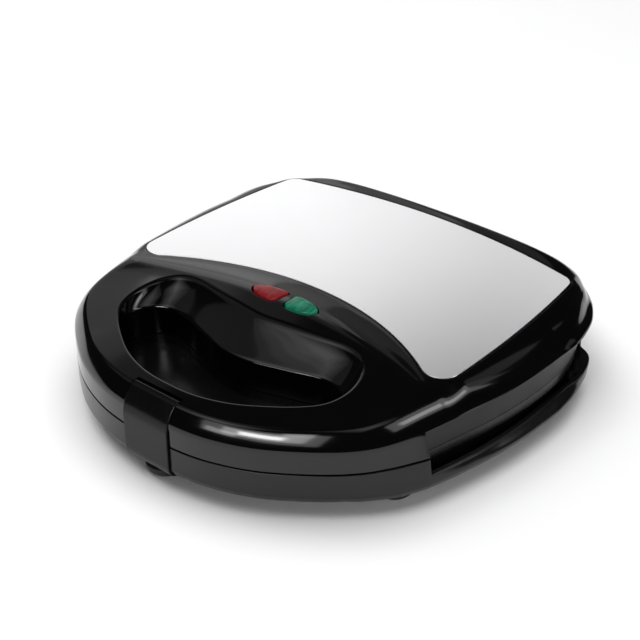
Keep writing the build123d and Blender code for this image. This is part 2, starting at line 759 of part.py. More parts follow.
with BuildPart() as base_shell:
    add(base_outer)
    add(base_cavity, mode=Mode.SUBTRACT)
    # side recesses: the wall stops at the skirt's rim
    with BuildPart(mode=Mode.PRIVATE) as above_rim:
        add(recess_space(0, RECESS_Y1, False))
        split(bisect_by=Plane.XY.offset(SKIRT_RIM), keep=Keep.TOP)
    add(above_rim.part, mode=Mode.SUBTRACT)
    # ledge that closes the rear end of each recess
    add(rear_ledge.part & base_outer & recess_space(0, RECESS_Y1, False))
    # slot for the latch, with a wall behind it
    add(extrude(latch_well.sketch, amount=Z_BASE1 - Z_BOTTOM, mode=Mode.PRIVATE) & base_outer)
    with BuildSketch(Plane.XY.offset(Z_BOTTOM - 1)):
        with Locations((0, -122.6)):
            Rectangle(LATCH_SLOT, 10.0)
    extrude(amount=22, mode=Mode.SUBTRACT)
    # screw holes, counterbored from below
    with BuildSketch(Plane.XY.offset(Z_BOTTOM)):
        with Locations(*LID_BOSSES):
            Circle(1.7)
    extrude(amount=4, mode=Mode.SUBTRACT)
    with BuildSketch(Plane.XY.offset(Z_BOTTOM)):
        with Locations(*LID_BOSSES):
            Circle(3.2)
    extrude(amount=1.3, mode=Mode.SUBTRACT)
    # sockets for the feet
    with BuildSketch(Plane.XY.offset(Z_BOTTOM)):
        with Locations(*FEET):
            Circle(2.0)
    extrude(amount=3, mode=Mode.SUBTRACT)
    # ventilation slots
    with BuildSketch(Plane.XY.offset(Z_BOTTOM)):
        for cx in (46, -46):
            for k in range(5):
                with Locations((cx, 3 + 12 * k)):
                    SlotOverall(34, 2.4)
    extrude(amount=3, mode=Mode.SUBTRACT)
    # opening for the cord inlet
    with BuildSketch(Plane.XZ.offset(-110)):
        with Locations((0, INLET_Z)):
            Circle(5.65)
    extrude(amount=-14, mode=Mode.SUBTRACT)
    # ears that carry the hinge pins
    for s in (1, -1):
        for t in (1, -1):
            with BuildSketch(Plane.YZ.offset(s * HINGE_X + t * (KNUCKLE_W / 2 + 0.4))):
                with Locations((HINGE_Y, HINGE_Z)):
                    Circle(KNUCKLE_R)
                with BuildLine():
                    Polyline((109.4, 13), (117.5, 13), (124.7, 23.1), (HINGE_Y, HINGE_Z),
                             (118.0, Z_BASE1), (109.4, Z_BASE1), close=True)
                make_face()
            extrude(amount=t * EAR_W)
        # room for the knuckle between the ears
        with BuildSketch(Plane.YZ.offset(s * HINGE_X)):
            with Locations((HINGE_Y, HINGE_Z)):
                Circle(KNUCKLE_R + 0.4)
        extrude(amount=KNUCKLE_W / 2 + 0.4, both=True, mode=Mode.SUBTRACT)
        with BuildSketch(Plane.YZ.offset(s * HINGE_X)):
            with Locations((HINGE_Y, HINGE_Z)):
                Circle(HINGE_PIN_R + 0.02)
        extrude(amount=14, both=True, mode=Mode.SUBTRACT)
    # pad behind the rear wall, with a channel for the lead sleeve
    with BuildSketch(Plane.XY.offset(14.0)):
        with Locations((-17, 116.4)):
            Rectangle(18, 3.4)
    extrude(amount=Z_BASE1 - 14.0)
    with BuildSketch(Plane.XY.offset(20.4)):
        with Locations((0, 116.4)):
            Rectangle(52, 3.4)
    extrude(amount=Z_BASE1 - 20.4)
    with BuildSketch(Plane.YZ):
        with Locations((HINGE_Y, HINGE_Z)):
            Circle(2.9)
    extrude(amount=26, both=True, mode=Mode.SUBTRACT)
    with BuildSketch(Plane.XY.offset(HINGE_Z)):
        with Locations((-SLEEVE_X, HINGE_Y)):
            Circle(2.3)
    extrude(amount=-SLEEVE_H, mode=Mode.SUBTRACT)
    with BuildSketch(Plane.XZ.offset(-HINGE_Y - 4)):
        with Locations((-SLEEVE_X, HINGE_Z - SLEEVE_H)):
            Circle(2.3)
    extrude(amount=13, mode=Mode.SUBTRACT)

# ---------------------------------------------------------------- base parts
# what stands in the base's side recesses: a band at the parting plane and two
# walls, one stepped in behind the other
with BuildPart() as base_band:
    with BuildSketch(Plane.XY.offset(Z_BASE1)):
        with BuildLine():
            closed(inset(CORE_LOOP, 1.0))
        make_face()
    extrude(amount=-2.2)
    add(ring(CORE_LOOP, Z_BASE1 - 5.25, Z_BASE1, 1.0, 2.9))
    add(ring(CORE_LOOP, Z_BASE1 - 15, Z_BASE1, 2.6, 4.4))
    add(recess_space(0.3, RECESS_Y1, False), mode=Mode.INTERSECT)

with BuildPart() as base_frame:
    with BuildSketch(Plane.XY.offset(Z_BASE1)):
        with BuildLine():
            closed(inset(CORE_LOOP, WALL + 0.5))
        make_face()
    extrude(amount=-2.2)
    add(base_band.part)
    # finger pocket
    with BuildSketch(Plane.XY.offset(Z_BASE1)):
        with BuildLine():
            closed(opening_loop(Z_OPEN_LOW, WALL))
        make_face()
    extrude(amount=-(Z_BASE1 - POCKET_FLOOR + WALL))
    with BuildSketch(Plane.XY.offset(POCKET_FLOOR)):
        with BuildLine():
            closed(opening_loop(Z_OPEN_LOW, 0))
        make_face()
    extrude(amount=8, mode=Mode.SUBTRACT)
    # bosses down to the floor of the shell
    with BuildSketch(Plane.XY.offset(Z_BOTTOM + WALL + 0.05)):
        with Locations(*LID_BOSSES):
            Circle(3.4)
    extrude(amount=Z_BASE1 - Z_BOTTOM - WALL - 1.2)
    with BuildSketch(Plane.XY.offset(Z_BOTTOM)):
        with Locations(*LID_BOSSES):
            Circle(1.5)
    extrude(amount=14, mode=Mode.SUBTRACT)
    with BuildSketch(Plane.XY.offset(Z_BASE1 + 1)):
        rounded(-COOK_X - 0.4, COOK_X + 0.4, COOK_Y0 - 0.4, COOK_Y1 + 0.4, COOK_R)
    extrude(amount=-18, mode=Mode.SUBTRACT)
    # clear of the latch well, the hinge ears and the sleeve pad
    with BuildSketch(Plane.XY.offset(Z_BASE1 + 1)):
        with Locations((0, -120)):
            Rectangle(LATCH_SLOT + 6, 9.4)
        with Locations((HINGE_X, 115.2), (-HINGE_X, 115.2)):
            Rectangle(KNUCKLE_W + 2 * EAR_W + 2.4, 12.4)
        with Locations((0, 118)):
            Rectangle(54, 7)
    extrude(amount=-20, mode=Mode.SUBTRACT)

with BuildPart() as base_frame_screws:
    with BuildSketch(Plane.XY.offset(Z_BOTTOM + 0.1)):
        with Locations(*LID_BOSSES):
            Circle(2.9)
    extrude(amount=1.2)
    with BuildSketch(Plane.XY.offset(Z_BOTTOM + 1.3)):
        with Locations(*LID_BOSSES):
            Circle(1.48)
    extrude(amount=12)
    with BuildSketch(Plane.XY.offset(Z_BOTTOM + 0.1)):
        with Locations(*LID_BOSSES):
            Rectangle(3.2, 0.6)
            Rectangle(0.6, 3.2)
    extrude(amount=0.7, mode=Mode.SUBTRACT)

with BuildSketch(Plane.XZ) as foot_section:
    with BuildLine():
        Line((0, 0), (4.6, 0))
        curve = Spline((4.6, 0), (8.0, 0.9), (9.8, 2.7), (10.4, 5.95),
                       tangents=((1, 0.12), (0.1, 1)))
        Polyline(curve @ 1, (1.95, 5.95), (1.95, 8.5), (2.6, 8.5), (1.6, 10.0), (0, 10.0), (0, 0))
    make_face()

one_foot = revolve(foot_section.sketch, axis=Axis.Z, mode=Mode.PRIVATE)

with BuildPart() as feet:
    with Locations(*FEET):
        add(one_foot)

with BuildPart() as hinge_pins:
    for s in (1, -1):
        with BuildSketch(Plane.YZ.offset(s * HINGE_X)):
            with Locations((HINGE_Y, HINGE_Z)):
                Circle(HINGE_PIN_R)
        extrude(amount=KNUCKLE_W / 2 + 0.4 + EAR_W, both=True)
    chamfer(hinge_pins.edges().filter_by(GeomType.CIRCLE), 0.4)

with BuildPart() as cord_inlet:
    with BuildSketch(Plane.XZ.offset(-113.5)):
        with Locations((0, INLET_Z)):
            Circle(5.55)
    extrude(amount=-8.0)
    with BuildSketch(Plane.XZ.offset(-120.3)):
        with Locations((0, INLET_Z)):
            Circle(7.0)
    extrude(amount=-1.8)
    with BuildSketch(Plane.XZ.offset(-110)):
        with Locations((0, INLET_Z)):
            Circle(3.6)
    extrude(amount=-16, mode=Mode.SUBTRACT)
    fillet(cord_inlet.edges().filter_by(GeomType.CIRCLE).group_by(Axis.Y)[-1], 0.6)

with BuildPart() as terminal_block:
    with BuildSketch(Plane.XY.offset(Z_BOTTOM + WALL)):
        with Locations((-39, 100.5)):
            RectangleRounded(26, 11, 1.2)
    extrude(amount=7)
    with BuildSketch(Plane.XY.offset(Z_BOTTOM + WALL + 7)):
        for x in (-47, -39, -31):
            with Locations((x, 98), (x, 103)):
                Circle(1.7)
    extrude(amount=-3.6, mode=Mode.SUBTRACT)
    with BuildSketch(Plane.XZ.offset(-90)):
        with Locations((-47, 11.6), (-39, 11.6), (-31, 11.6)):
            Circle(1.3)
    extrude(amount=-20, mode=Mode.SUBTRACT)


def wire(*points, radius=2.6):
    with BuildPart() as strand:
        with BuildLine() as path:
            FilletPolyline(*points, radius=radius)
        with BuildSketch(Plane(origin=path.line @ 0, z_dir=path.line % 0)):
            Circle(1.0)
        sweep()
    return strand.part


base_leads = [
    wire((-24, 88.2, 13.9), (-24, 94, 13.9), (-31, 94, 11.6), (-31, 99, 11.6), radius=1.6),
    wire((24, 88.2, 13.9), (24, 97, 13.9), (6, 108.5, 11.6), (-39, 108.5, 11.6),
         (-39, 101, 11.6)),
]
lid_leads = [
    wire((s * 24, -34.2, 36.1), (s * 24, -38.6, 36.1), (s * 40, -42.4, 30.6),
         (s * 92, -42.4, 30.6), (s * 106.6, -20, 30.6), (s * 108, 4, 30.6))
    for s in (1, -1)
]

with BuildPart() as base_wires:
    add(base_leads)

with BuildPart() as lid_wires:
    add(lid_leads)

# ---------------------------------------------------------------- latch
with BuildPart() as latch:
    with BuildSketch(Plane.YZ):
        with Locations((LATCH_Y, LATCH_Z)):
            Circle(LATCH_R)
        with BuildLine():
            outer = Spline((-115.8, 45.6), (-118.0, 45.15), (-119.9, 42.95), (-122.3, 40.5),
                           (-124.4, 36.4), (-125.2, 32.6))
            down = Line(outer @ 1, (-125.2, 14.0))
            toe = Spline(down @ 1, (-124.6, 10.6), (-122.4, 7.6), (-119.0, 6.2))
            Polyline(toe @ 1, (-118.2, 8.2), (-120.4, 9.2), (-121.8, 11.2), (-122.2, 14.0),
                     (-122.2, 34.2), (-121.4, 36.6), (-118.6, 38.4), (LATCH_Y, LATCH_Z),
                     outer @ 0)
        make_face()
    extrude(amount=LATCH_W / 2, both=True)
    # stiffening ribs on the inner face
    for x in (-9, 0, 9):
        with BuildSketch(Plane.YZ.offset(x)):
            with BuildLine():
                Polyline((-122.6, 22.0), (-120.2, 20.5), (-118.2, 17), (-118.2, 8.0),
                         (-120.6, 8.6), (-122.6, 12), close=True)
            make_face()
        extrude(amount=0.8, both=True)
    with BuildSketch(Plane.YZ):
        with Locations((LATCH_Y, LATCH_Z)):
            Circle(LATCH_PIN_R + 0.06)
    extrude(amount=20, both=True, mode=Mode.SUBTRACT)

with BuildPart() as latch_pin:
    with BuildSketch(Plane.YZ):
        with Locations((LATCH_Y, LATCH_Z)):
            Circle(LATCH_PIN_R)
    extrude(amount=16.9, both=True)

# ---------------------------------------------------------------- output
NODES = {
    "base_shell": base_shell, "base_frame": base_frame, "base_frame_screws": base_frame_screws,
    "lower_cooking_plate": lower_plate, "lower_heating_element": lower_heater,
    "lower_reflector": lower_reflector, "lower_plate_screws": lower_plate_screws,
    "thermostat": thermostat, "thermal_fuse": thermal_fuse, "terminal_block": terminal_block,
    "base_wires": base_wires, "cord_inlet": cord_inlet, "feet": feet, "hinge_pins": hinge_pins,
    "hinge_lead_lower": hinge_lead_lower,
    "lid_shell": lid_shell, "lid_cover_plate": lid_cover_plate, "lid_frame": lid_frame,
    "lid_frame_screws": lid_frame_screws, "upper_cooking_plate": upper_plate,
    "upper_heating_element": upper_heater, "upper_reflector": upper_reflector,
    "upper_plate_screws": upper_plate_screws, "red_lens": red_lens, "green_lens": green_lens,
    "lamp_holder": lamp_holder, "lamp_holder_screws": lamp_holder_screws,
    "neon_lamps": neon_lamps, "lid_wires": lid_wires, "latch_pin": latch_pin,
    "hinge_lead_upper": hinge_lead_upper,
    "latch": latch,
}
for label, piece in NODES.items():
    piece.part.label = label
    export_step(piece.part, f"parts/{label}.step")
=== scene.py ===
import bpy
import math
import numpy as np
from mathutils import Vector, Matrix, kdtree
from mathutils.geometry import delaunay_2d_cdt


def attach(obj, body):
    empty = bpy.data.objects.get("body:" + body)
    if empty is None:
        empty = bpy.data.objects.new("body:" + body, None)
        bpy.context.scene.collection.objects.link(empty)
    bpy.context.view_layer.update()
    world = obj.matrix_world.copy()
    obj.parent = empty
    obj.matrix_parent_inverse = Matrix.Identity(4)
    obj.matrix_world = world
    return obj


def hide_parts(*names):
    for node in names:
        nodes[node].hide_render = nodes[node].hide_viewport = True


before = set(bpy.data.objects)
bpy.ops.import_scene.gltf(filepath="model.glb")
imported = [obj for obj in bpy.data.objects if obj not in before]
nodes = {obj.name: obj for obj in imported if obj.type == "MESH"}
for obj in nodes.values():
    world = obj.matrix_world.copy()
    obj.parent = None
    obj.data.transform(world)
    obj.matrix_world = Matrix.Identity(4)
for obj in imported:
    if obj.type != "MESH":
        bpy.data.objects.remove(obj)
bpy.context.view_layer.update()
scene = bpy.context.scene

# ------------------------------------------------------------------ sizes, mm
WALL = 2.4
Z_LID0, Z_BASE1, Z_CREASE, Z_PLATE = 25.15, 24.85, 36.6, 50.0
HINGE_Y, HINGE_Z, HINGE_X, KNUCKLE_R, KNUCKLE_W, EAR_W = 120.7, 25.0, 62.0, 4.5, 14.0, 4.1
LATCH_Y, LATCH_Z, LATCH_R, LATCH_W, LATCH_SLOT = -115.8, 41.2, 4.4, 28.4, 29.2
RECESS_Y0, RECESS_Y1, RECESS_X, LEDGE_Y = -53.6, 83.0, 76.6, 60.0
Z_OPEN_LOW, SKIRT_RIM, Z_BOTTOM = 41.0, 17.0, 6.0

BODY = [(0, -124.2), (16, -123.7), (31, -121.5), (45, -117.2), (58, -111.2),
        (70, -103.4), (82, -94.2), (91.5, -85), (98.5, -74.8), (103.3, -62.5),
        (107, -48), (111.2, -29), (115, -10), (117.3, 10), (118, 30),
        (116.8, 48), (113.0, 66), (107.4, 79), (101.0, 90.4), (93.2, 100.4),
        (82, 108.8), (66, 114.7), (44, 118.2), (22, 119.7), (0, 120.1)]
BASE = BODY[:15] + [(118.0, 46), (117.4, 56), (116.6, 64), (115.0, 71),
                    (112.6, 76.4), (109.3, 79.8), (105.6, 82.2), (102.6, 85.4),
                    (98.9, 90.8), (93.0, 97.6), (85.0, 104.2), (76.3, 109.4),
                    (67, 113.3), (56, 116.2), (44, 118.2), (22, 119.7), (0, 120.1)]
CORE = BODY[:15] + [(117.4, 42), (115.8, 53), (113.0, 63), (109.3, 72.4),
                    (104.9, 81.4), (99.4, 90.2), (93.0, 97.6), (85.0, 104.2),
                    (76.3, 109.4), (67, 113.3), (56, 116.2), (44, 118.2),
                    (22, 119.7), (0, 120.1)]
CORNER = [(45, 0), (80, 1), (99, 1), (112, 0.3)]
FLANGE = [(26, 0), (38, 0.5), (48, 1.6), (56, 2.6), (66, 3.2), (78, 4.2), (88, 3.6),
          (96, 2.4), (106, 1.0), (114, 0)]
OPEN_LOW = [(0, -66.3), (11, -65.2), (24, -61.6), (34, -58.6), (42, -56.0),
            (49.5, -54.7), (55, -55.4), (59.3, -57.6), (62.5, -61.2),
            (64.4, -65.4), (65.2, -69.6), (64.8, -74.0), (63, -78.6),
            (60, -82.6), (55.8, -86.7), (50, -91.2), (43.4, -95.7),
            (35, -100.7), (25.4, -104.6), (13.8, -107.5), (0, -108.3)]
OPEN_LEAN = [(0, 1.75), (0.1, 1.75), (0.2, 1.6), (0.3, 1.5), (0.35, 1.4),
             (0.4, 1.3), (0.5, 1.2), (0.6, 1.0), (0.6, 0.8), (0.6, 0.5),
             (0.5, 0.2), (0.35, 0.0), (0.2, -0.05), (0.1, -0.05),
             (0.05, -0.05), (0.03, -0.05), (0.02, -0.05), (0, -0.05),
             (0, -0.05), (0, -0.05), (0, -0.05)]
LENS = [(1.9, -27.4), (2.2, -21.2), (4.2, -20.2), (9, -20.3), (14, -21.4),
        (19, -24.2), (21.4, -27.6), (19.5, -31.1), (13.5, -33.9), (8, -34.3),
        (4.0, -33.7), (2.2, -31.6)]
FLARE = [(-85, 0), (-74, 0.6), (-62, 2.6), (-53.8, 4.3), (40, 4.3), (66, 1.0), (80, 0)]
RIM = [(-88, 0), (-76, 1.2), (-68, 3.2), (-54.6, 5.6), (-27, 5.5), (-12, 4.2),
       (11, 3.0), (30, 2.0), (46, 1.6), (54, 2.8), (62, 2.4), (70, 1.6), (77, 1.0), (84, 0)]
BELLY = [(-88, 0), (-76, 2.0), (-68, 4.2), (-55, 6.4), (-45, 6.9), (-34, 7.3),
         (-22, 7.3), (-1, 7.0), (15, 6.8), (32, 6.8), (44, 5.6), (52, 4.4),
         (60, 3.0), (72, 1.2), (88, 0)]
BOSSES = [(s * x, y) for x, y in ((108.2, 20), (80, -70), (76, 96.5)) for s in (1, -1)]


# ------------------------------------------------------------------ curves
def mirrored(half):
    return half + [(-x, y) for x, y in reversed(half[1:-1])]


def periodic_cubic(t, period, values):
    """Second derivatives of the periodic cubic spline through values at t."""
    n = len(t)
    h = np.diff(np.append(t, t[0] + period))
    a = np.zeros((n, n))
    b = np.zeros((n, values.shape[1]))
    for i in range(n):
        p, q = (i - 1) % n, (i + 1) % n
        a[i, p] += h[p]
        a[i, i] += 2 * (h[p] + h[i])
        a[i, q] += h[i]
        b[i] = 6 * ((values[q] - values[i]) / h[i] - (values[i] - values[p]) / h[p])
    return np.linalg.solve(a, b), h


class Loop:
    """Closed smooth curve through points, with any further values carried along."""

    def __init__(self, points, extra=None):
        p = np.array(points, float)
        q = p if extra is None else np.hstack([p, np.array(extra, float)])
        seg = np.linalg.norm(np.roll(p, -1, 0) - p, axis=1)
        self.t = np.concatenate([[0], np.cumsum(seg)[:-1]])
        self.period = seg.sum()
        self.v = q
        self.m, self.h = periodic_cubic(self.t, self.period, q)

    def __call__(self, t):
        t = np.mod(np.asarray(t, float), self.period)
        i = np.clip(np.searchsorted(self.t, t, side="right") - 1, 0, len(self.t) - 1)
        j = (i + 1) % len(self.t)
        h = self.h[i][:, None]
        b = (t - self.t[i])[:, None]
        a = h - b
        return (self.m[i] * a ** 3 / (6 * h) + self.m[j] * b ** 3 / (6 * h)
                + (self.v[i] / h - self.m[i] * h / 6) * a
                + (self.v[j] / h - self.m[j] * h / 6) * b)

    def even(self, n, start=0.0):
        """n parameters evenly spaced by length."""
        t = np.linspace(0, self.period, 4001)
        p = self(t)[:, :2]
        s = np.concatenate([[0], np.cumsum(np.linalg.norm(np.diff(p, axis=0), axis=1))])
        return np.interp((np.arange(n) / n) * s[-1], s, t)


def normals2d(loop, t):
    """Outward unit normals of a loop that runs counter-clockwise."""
    d = loop(t + 0.02)[:, :2] - loop(t - 0.02)[:, :2]
    d /= np.linalg.norm(d, axis=1)[:, None]
    return np.stack([d[:, 1], -d[:, 0]], 1)


body = Loop(mirrored(BODY))
base_loop = Loop(mirrored(BASE))
core_loop = Loop(mirrored(CORE))


def tab(table, y):
    return float(np.interp(y, [q[0] for q in table], [q[1] for q in table]))


def pchip(xs, ys, x):
    """Monotone cubic through the points."""
    xs, ys = np.array(xs, float), np.array(ys, float)
    h = np.diff(xs)
    d = np.diff(ys) / h
    m = np.zeros(len(xs))
    for k in range(1, len(xs) - 1):
        if d[k - 1] * d[k] > 0:
            w1, w2 = 2 * h[k] + h[k - 1], h[k] + 2 * h[k - 1]
            m[k] = (w1 + w2) / (w1 / d[k - 1] + w2 / d[k])
    m[0], m[-1] = d[0], d[-1]
    k = np.clip(np.searchsorted(xs, x, side="right") - 1, 0, len(h) - 1)
    t = (x - xs[k]) / h[k]
    return ((2 * t**3 - 3 * t**2 + 1) * ys[k] + (t**3 - 2 * t**2 + t) * h[k] * m[k]
            + (-2 * t**3 + 3 * t**2) * ys[k + 1] + (t**3 - t**2) * h[k] * m[k + 1])


def smooth_tab(table, y):
    """Table lookup without kinks."""
    y = np.clip(y, table[0][0], table[-1][0])
    return pchip([q[0] for q in table], [q[1] for q in table], np.asarray(y, float))


class Distance:
    """Signed distance to a closed polygon given counter-clockwise, positive inside."""

    def __init__(self, pts):
        self.p = np.asarray(pts, float)
        self.tree = kdtree.KDTree(len(self.p))
        for i, (x, y) in enumerate(self.p):
            self.tree.insert((x, y, 0), i)
        self.tree.balance()

    def __call__(self, x, y):
        x, y = np.broadcast_arrays(np.asarray(x, float), np.asarray(y, float))
        shape = x.shape
        q = np.stack([x.ravel(), y.ravel()], 1)
        find = self.tree.find
        idx = np.fromiter((find((a, b, 0))[1] for a, b in q), int, len(q))
        best = np.full(len(q), 1e9)
        sign = np.ones(len(q))
        n = len(self.p)
        for off in (-1, 0):
            a = self.p[(idx + off) % n]
            b = self.p[(idx + off + 1) % n]
            ab = b - a
            w = np.clip(((q - a) * ab).sum(1) / (ab * ab).sum(1), 0, 1)
            r = q - (a + ab * w[:, None])
            d = np.hypot(r[:, 0], r[:, 1])
            s = np.where(ab[:, 0] * r[:, 1] - ab[:, 1] * r[:, 0] >= 0, 1, -1)
            use = d < best - 1e-12
            best = np.where(use, d, best)
            sign = np.where(use, s, sign)
        return (best * sign).reshape(shape)


body_t = body.even(6000)
body_dist = Distance(body(body_t)[:, :2])
core_dist = Distance(core_loop(core_loop.even(4000))[:, :2])


def circle_through(a, b, c):
    (ax, ay), (bx, by), (cx, cy) = a, b, c
    d = 2 * (ax * (by - cy) + bx * (cy - ay) + cx * (ay - by))
    ux = ((ax**2 + ay**2) * (by - cy) + (bx**2 + by**2) * (cy - ay) + (cx**2 + cy**2) * (ay - by)) / d
    uy = ((ax**2 + ay**2) * (cx - bx) + (bx**2 + by**2) * (ax - cx) + (cx**2 + cy**2) * (bx - ax)) / d
    return np.array([ux, uy]), math.hypot(ax - ux, ay - uy)


def plate_polygon(g, step=0.9):
    """The steel plate's outline grown by g, counter-clockwise."""
    fc, fr = circle_through((-99.4 - g, -40.7 - g), (0, -3.3 - g), (99.4 + g, -40.7 - g))
    rc, rr = circle_through((99.4 + g, -40.7 - g), (100.4 + g, 25), (94.6 + g, 86.4 + g))
    tc, tr = circle_through((94.6 + g, 86.4 + g), (0, 99.4 + g), (-94.6 - g, 86.4 + g))

    def fillet(c1, d1, c2, d2, near):
        v = c2 - c1
        d = np.linalg.norm(v)
        a = (d1 * d1 - d2 * d2 + d * d) / (2 * d)
        h = math.sqrt(max(d1 * d1 - a * a, 0))
        m = c1 + v / d * a
        w = np.array([-v[1], v[0]]) / d * h
        return min((m + w, m - w), key=lambda p: np.linalg.norm(p - np.array(near)))

    f1, f2 = 9.6 + g, 8.0 + g
    p1 = fillet(fc, fr + f1, rc, rr - f1, (90, -30))
    p2 = fillet(rc, rr - f2, tc, tr - f2, (85, 78))

    def arc(c, r, a, b, sweep):
        a0 = math.atan2(*(a - c)[::-1])
        a1 = math.atan2(*(b - c)[::-1])
        while sweep > 0 and a1 < a0:
            a1 += 2 * math.pi
        while sweep < 0 and a1 > a0:
            a1 -= 2 * math.pi
        n = max(3, int(abs(a1 - a0) * r / step) + 1)
        t = np.linspace(a0, a1, n)[:-1]
        return np.stack([c[0] + r * np.cos(t), c[1] + r * np.sin(t)], 1)

    t1 = fc + (p1 - fc) / np.linalg.norm(p1 - fc) * fr
    t2 = rc + (p1 - rc) / np.linalg.norm(p1 - rc) * rr
    t3 = rc + (p2 - rc) / np.linalg.norm(p2 - rc) * rr
    t4 = tc + (p2 - tc) / np.linalg.norm(p2 - tc) * tr
    mx = np.array([-1, 1])
    parts = [arc(fc, fr, t1 * mx, t1, -1), arc(p1, f1, t1, t2, 1), arc(rc, rr, t2, t3, 1),
             arc(p2, f2, t3, t4, 1), arc(tc, tr, t4, t4 * mx, 1),
             arc(p2 * mx, f2, t4 * mx, t3 * mx, 1), arc(rc * mx, rr, t3 * mx, t2 * mx, 1),
             arc(p1 * mx, f1, t2 * mx, t1 * mx, 1)]
    return np.vstack(parts)


plate_dist = Distance(plate_polygon(0.35, 0.25))


# ------------------------------------------------------------------ lid top
def smin(a, b, k):
    h = np.maximum(k - np.abs(a - b), 0) / k
    return np.minimum(a, b) - h * h * k / 4


def smax(a, b, k):
    return -smin(-a, -b, k)


def lid_top(x, y):
    """Height of the lid's outer surface."""
    x, y = np.asarray(x, float), np.asarray(y, float)
    d = body_dist(x, y)
    # the shoulder narrows where the plate's corners come close to the edge
    strip = np.maximum(d, 0) + np.maximum(-plate_dist(x, y), 0) + 0.3
    e = d * 17.6 / smin(np.interp(y, [-40, 0], [13.5, 17.6]), strip, 3.0)
    e_box = d * 11.5 / smin(np.full_like(d, 11.5), strip, 2.0)
    sh = np.where(e < 0, -13.4 + 1.83 * e,
                  np.where(e < 17.6, -26.47 + np.sqrt(np.maximum(27.2**2 - (23.86 - e) ** 2, 1)),
                           0.236 * (e - 17.6)))
    m = smooth_tab(CORNER, y)
    boxy = pchip([-1, 0, 0.5, 1.2, 2.8, 5.2, 8.2, 11.5, 14, 60],
                 [-20, -13.4, -9.01, -6.84, -4.55, -2.70, -1.07, 0, 0.6, 11.5], np.clip(e_box, -1, 60))
    sh = sh * (1 - m) + boxy * m
    ahead = -3.3 - 37.99 * (x / 100) ** 2 - y
    a = np.maximum(ahead, 0)
    swell = 0.28 * a * a / (a + 7)
    slope = -3.7 + 0.102 * (y + 109.6) - 2.4 * (x / 70) ** 2 + 5 * np.exp(-a / 8)
    crown = np.where(ahead > 0, smin(swell, slope, 2.5), 0)
    z = smin(sh, crown, 1.2)
    return Z_PLATE + z - 0.03


def lid_normal(x, y):
    h = 0.12
    zx = (lid_top(x + h, y) - lid_top(x - h, y)) / (2 * h)
    zy = (lid_top(x, y + h) - lid_top(x, y - h)) / (2 * h)
    n = np.stack([-zx, -zy, np.ones_like(zx)], 1)
    return n / np.linalg.norm(n, axis=1)[:, None]


# ------------------------------------------------------------------ meshes
class Build:
    """Collects patches of vertices, faces and normals into one mesh object."""

    def __init__(self):
        self.v, self.f, self.n, self.m = [], [], [], []
        self.count = 0

    def add(self, v, f, n=None, mat=0):
        v = np.asarray(v, float).reshape(-1, 3)
        if n is None:
            n = vertex_normals(v, f)
        self.v.append(v)
        self.n.append(np.asarray(n, float).reshape(-1, 3))
        for q in f:
            self.f.append([int(i) + self.count for i in q])
            self.m.append(mat)
        self.count += len(v)

    def grid(self, g, close=False, flip=False, mat=0, normals=None, keep=None):
        """Quads over g[i][j]; i runs along columns, j along each profile."""
        g = np.asarray(g, float)
        ni, nj = g.shape[:2]
        n = grid_normals(g, close) if normals is None else normals
        if flip:
            n = -n
        f = []
        for i in range(ni if close else ni - 1):
            k = (i + 1) % ni
            for j in range(nj - 1):
                a, b, c, d = i * nj + j, k * nj + j, k * nj + j + 1, i * nj + j + 1
                if keep is not None and not keep((g[i, j] + g[k, j + 1]) / 2):
                    continue
                f.append([d, c, b, a] if not flip else [a, b, c, d])
        self.add(g.reshape(-1, 3), f, n.reshape(-1, 3), mat)

    def ladder(self, a, b, mat=0, flip=False):
        """Flat strip between two polylines that share row numbers."""
        for j in range(len(a) - 1):
            q = [a[j], b[j], b[j + 1], a[j + 1]]
            u = np.array(q[2]) - np.array(q[0])
            w = np.array(q[3]) - np.array(q[1])
            c = np.cross(u, w)
            size = np.linalg.norm(c)
            if size < 1e-7:
                continue
            c = c / size * (-1 if flip else 1)
            pts = []
            for p in (q[::-1] if flip else q):
                if not pts or (np.linalg.norm(np.array(p) - np.array(pts[-1])) > 1e-6):
                    pts.append(p)
            if np.linalg.norm(np.array(pts[0]) - np.array(pts[-1])) < 1e-6:
                pts.pop()
            if len(pts) < 3:
                continue
            self.add(pts, [list(range(len(pts)))], [c] * len(pts), mat)

    def make(self, name, materials, body_name, replaces=()):
        me = bpy.data.meshes.new(name)
        v = np.vstack(self.v) * 0.001
        n = np.vstack(self.n)
        # every face is wound the way its normals point
        for k, q in enumerate(self.f):
            a, b = v[q[2]] - v[q[0]], v[q[-1]] - v[q[1]]
            c = (a[1] * b[2] - a[2] * b[1], a[2] * b[0] - a[0] * b[2], a[0] * b[1] - a[1] * b[0])
            if len(q) == 3:
                a, b = v[q[1]] - v[q[0]], v[q[2]] - v[q[0]]
                c = (a[1] * b[2] - a[2] * b[1], a[2] * b[0] - a[0] * b[2], a[0] * b[1] - a[1] * b[0])
            m = n[q].sum(0)
            if c[0] * m[0] + c[1] * m[1] + c[2] * m[2] < 0:
                self.f[k] = q[::-1]
        me.from_pydata(v.tolist(), [], self.f)
        for m in materials:
            me.materials.append(m)
        for p, m in zip(me.polygons, self.m):
            p.material_index = m
            p.use_smooth = True
        me.update()
        me.normals_split_custom_set_from_vertices(n.tolist())
        o = bpy.data.objects.new(name, me)
        scene.collection.objects.link(o)
        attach(o, body_name)
        if replaces:
            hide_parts(*replaces)
        return o


def grid_normals(g, close):
    if close:
        du = np.roll(g, -1, 0) - np.roll(g, 1, 0)
    else:
        du = np.gradient(g, axis=0)
    dv = np.gradient(g, axis=1)
    n = np.cross(dv, du)
    size = np.linalg.norm(n, axis=2)[..., None]
    n = n / np.maximum(size, 1e-12)
    bad = size[..., 0] < 1e-9
    if bad.any():
        n[bad] = (0, 0, 1)
    return n


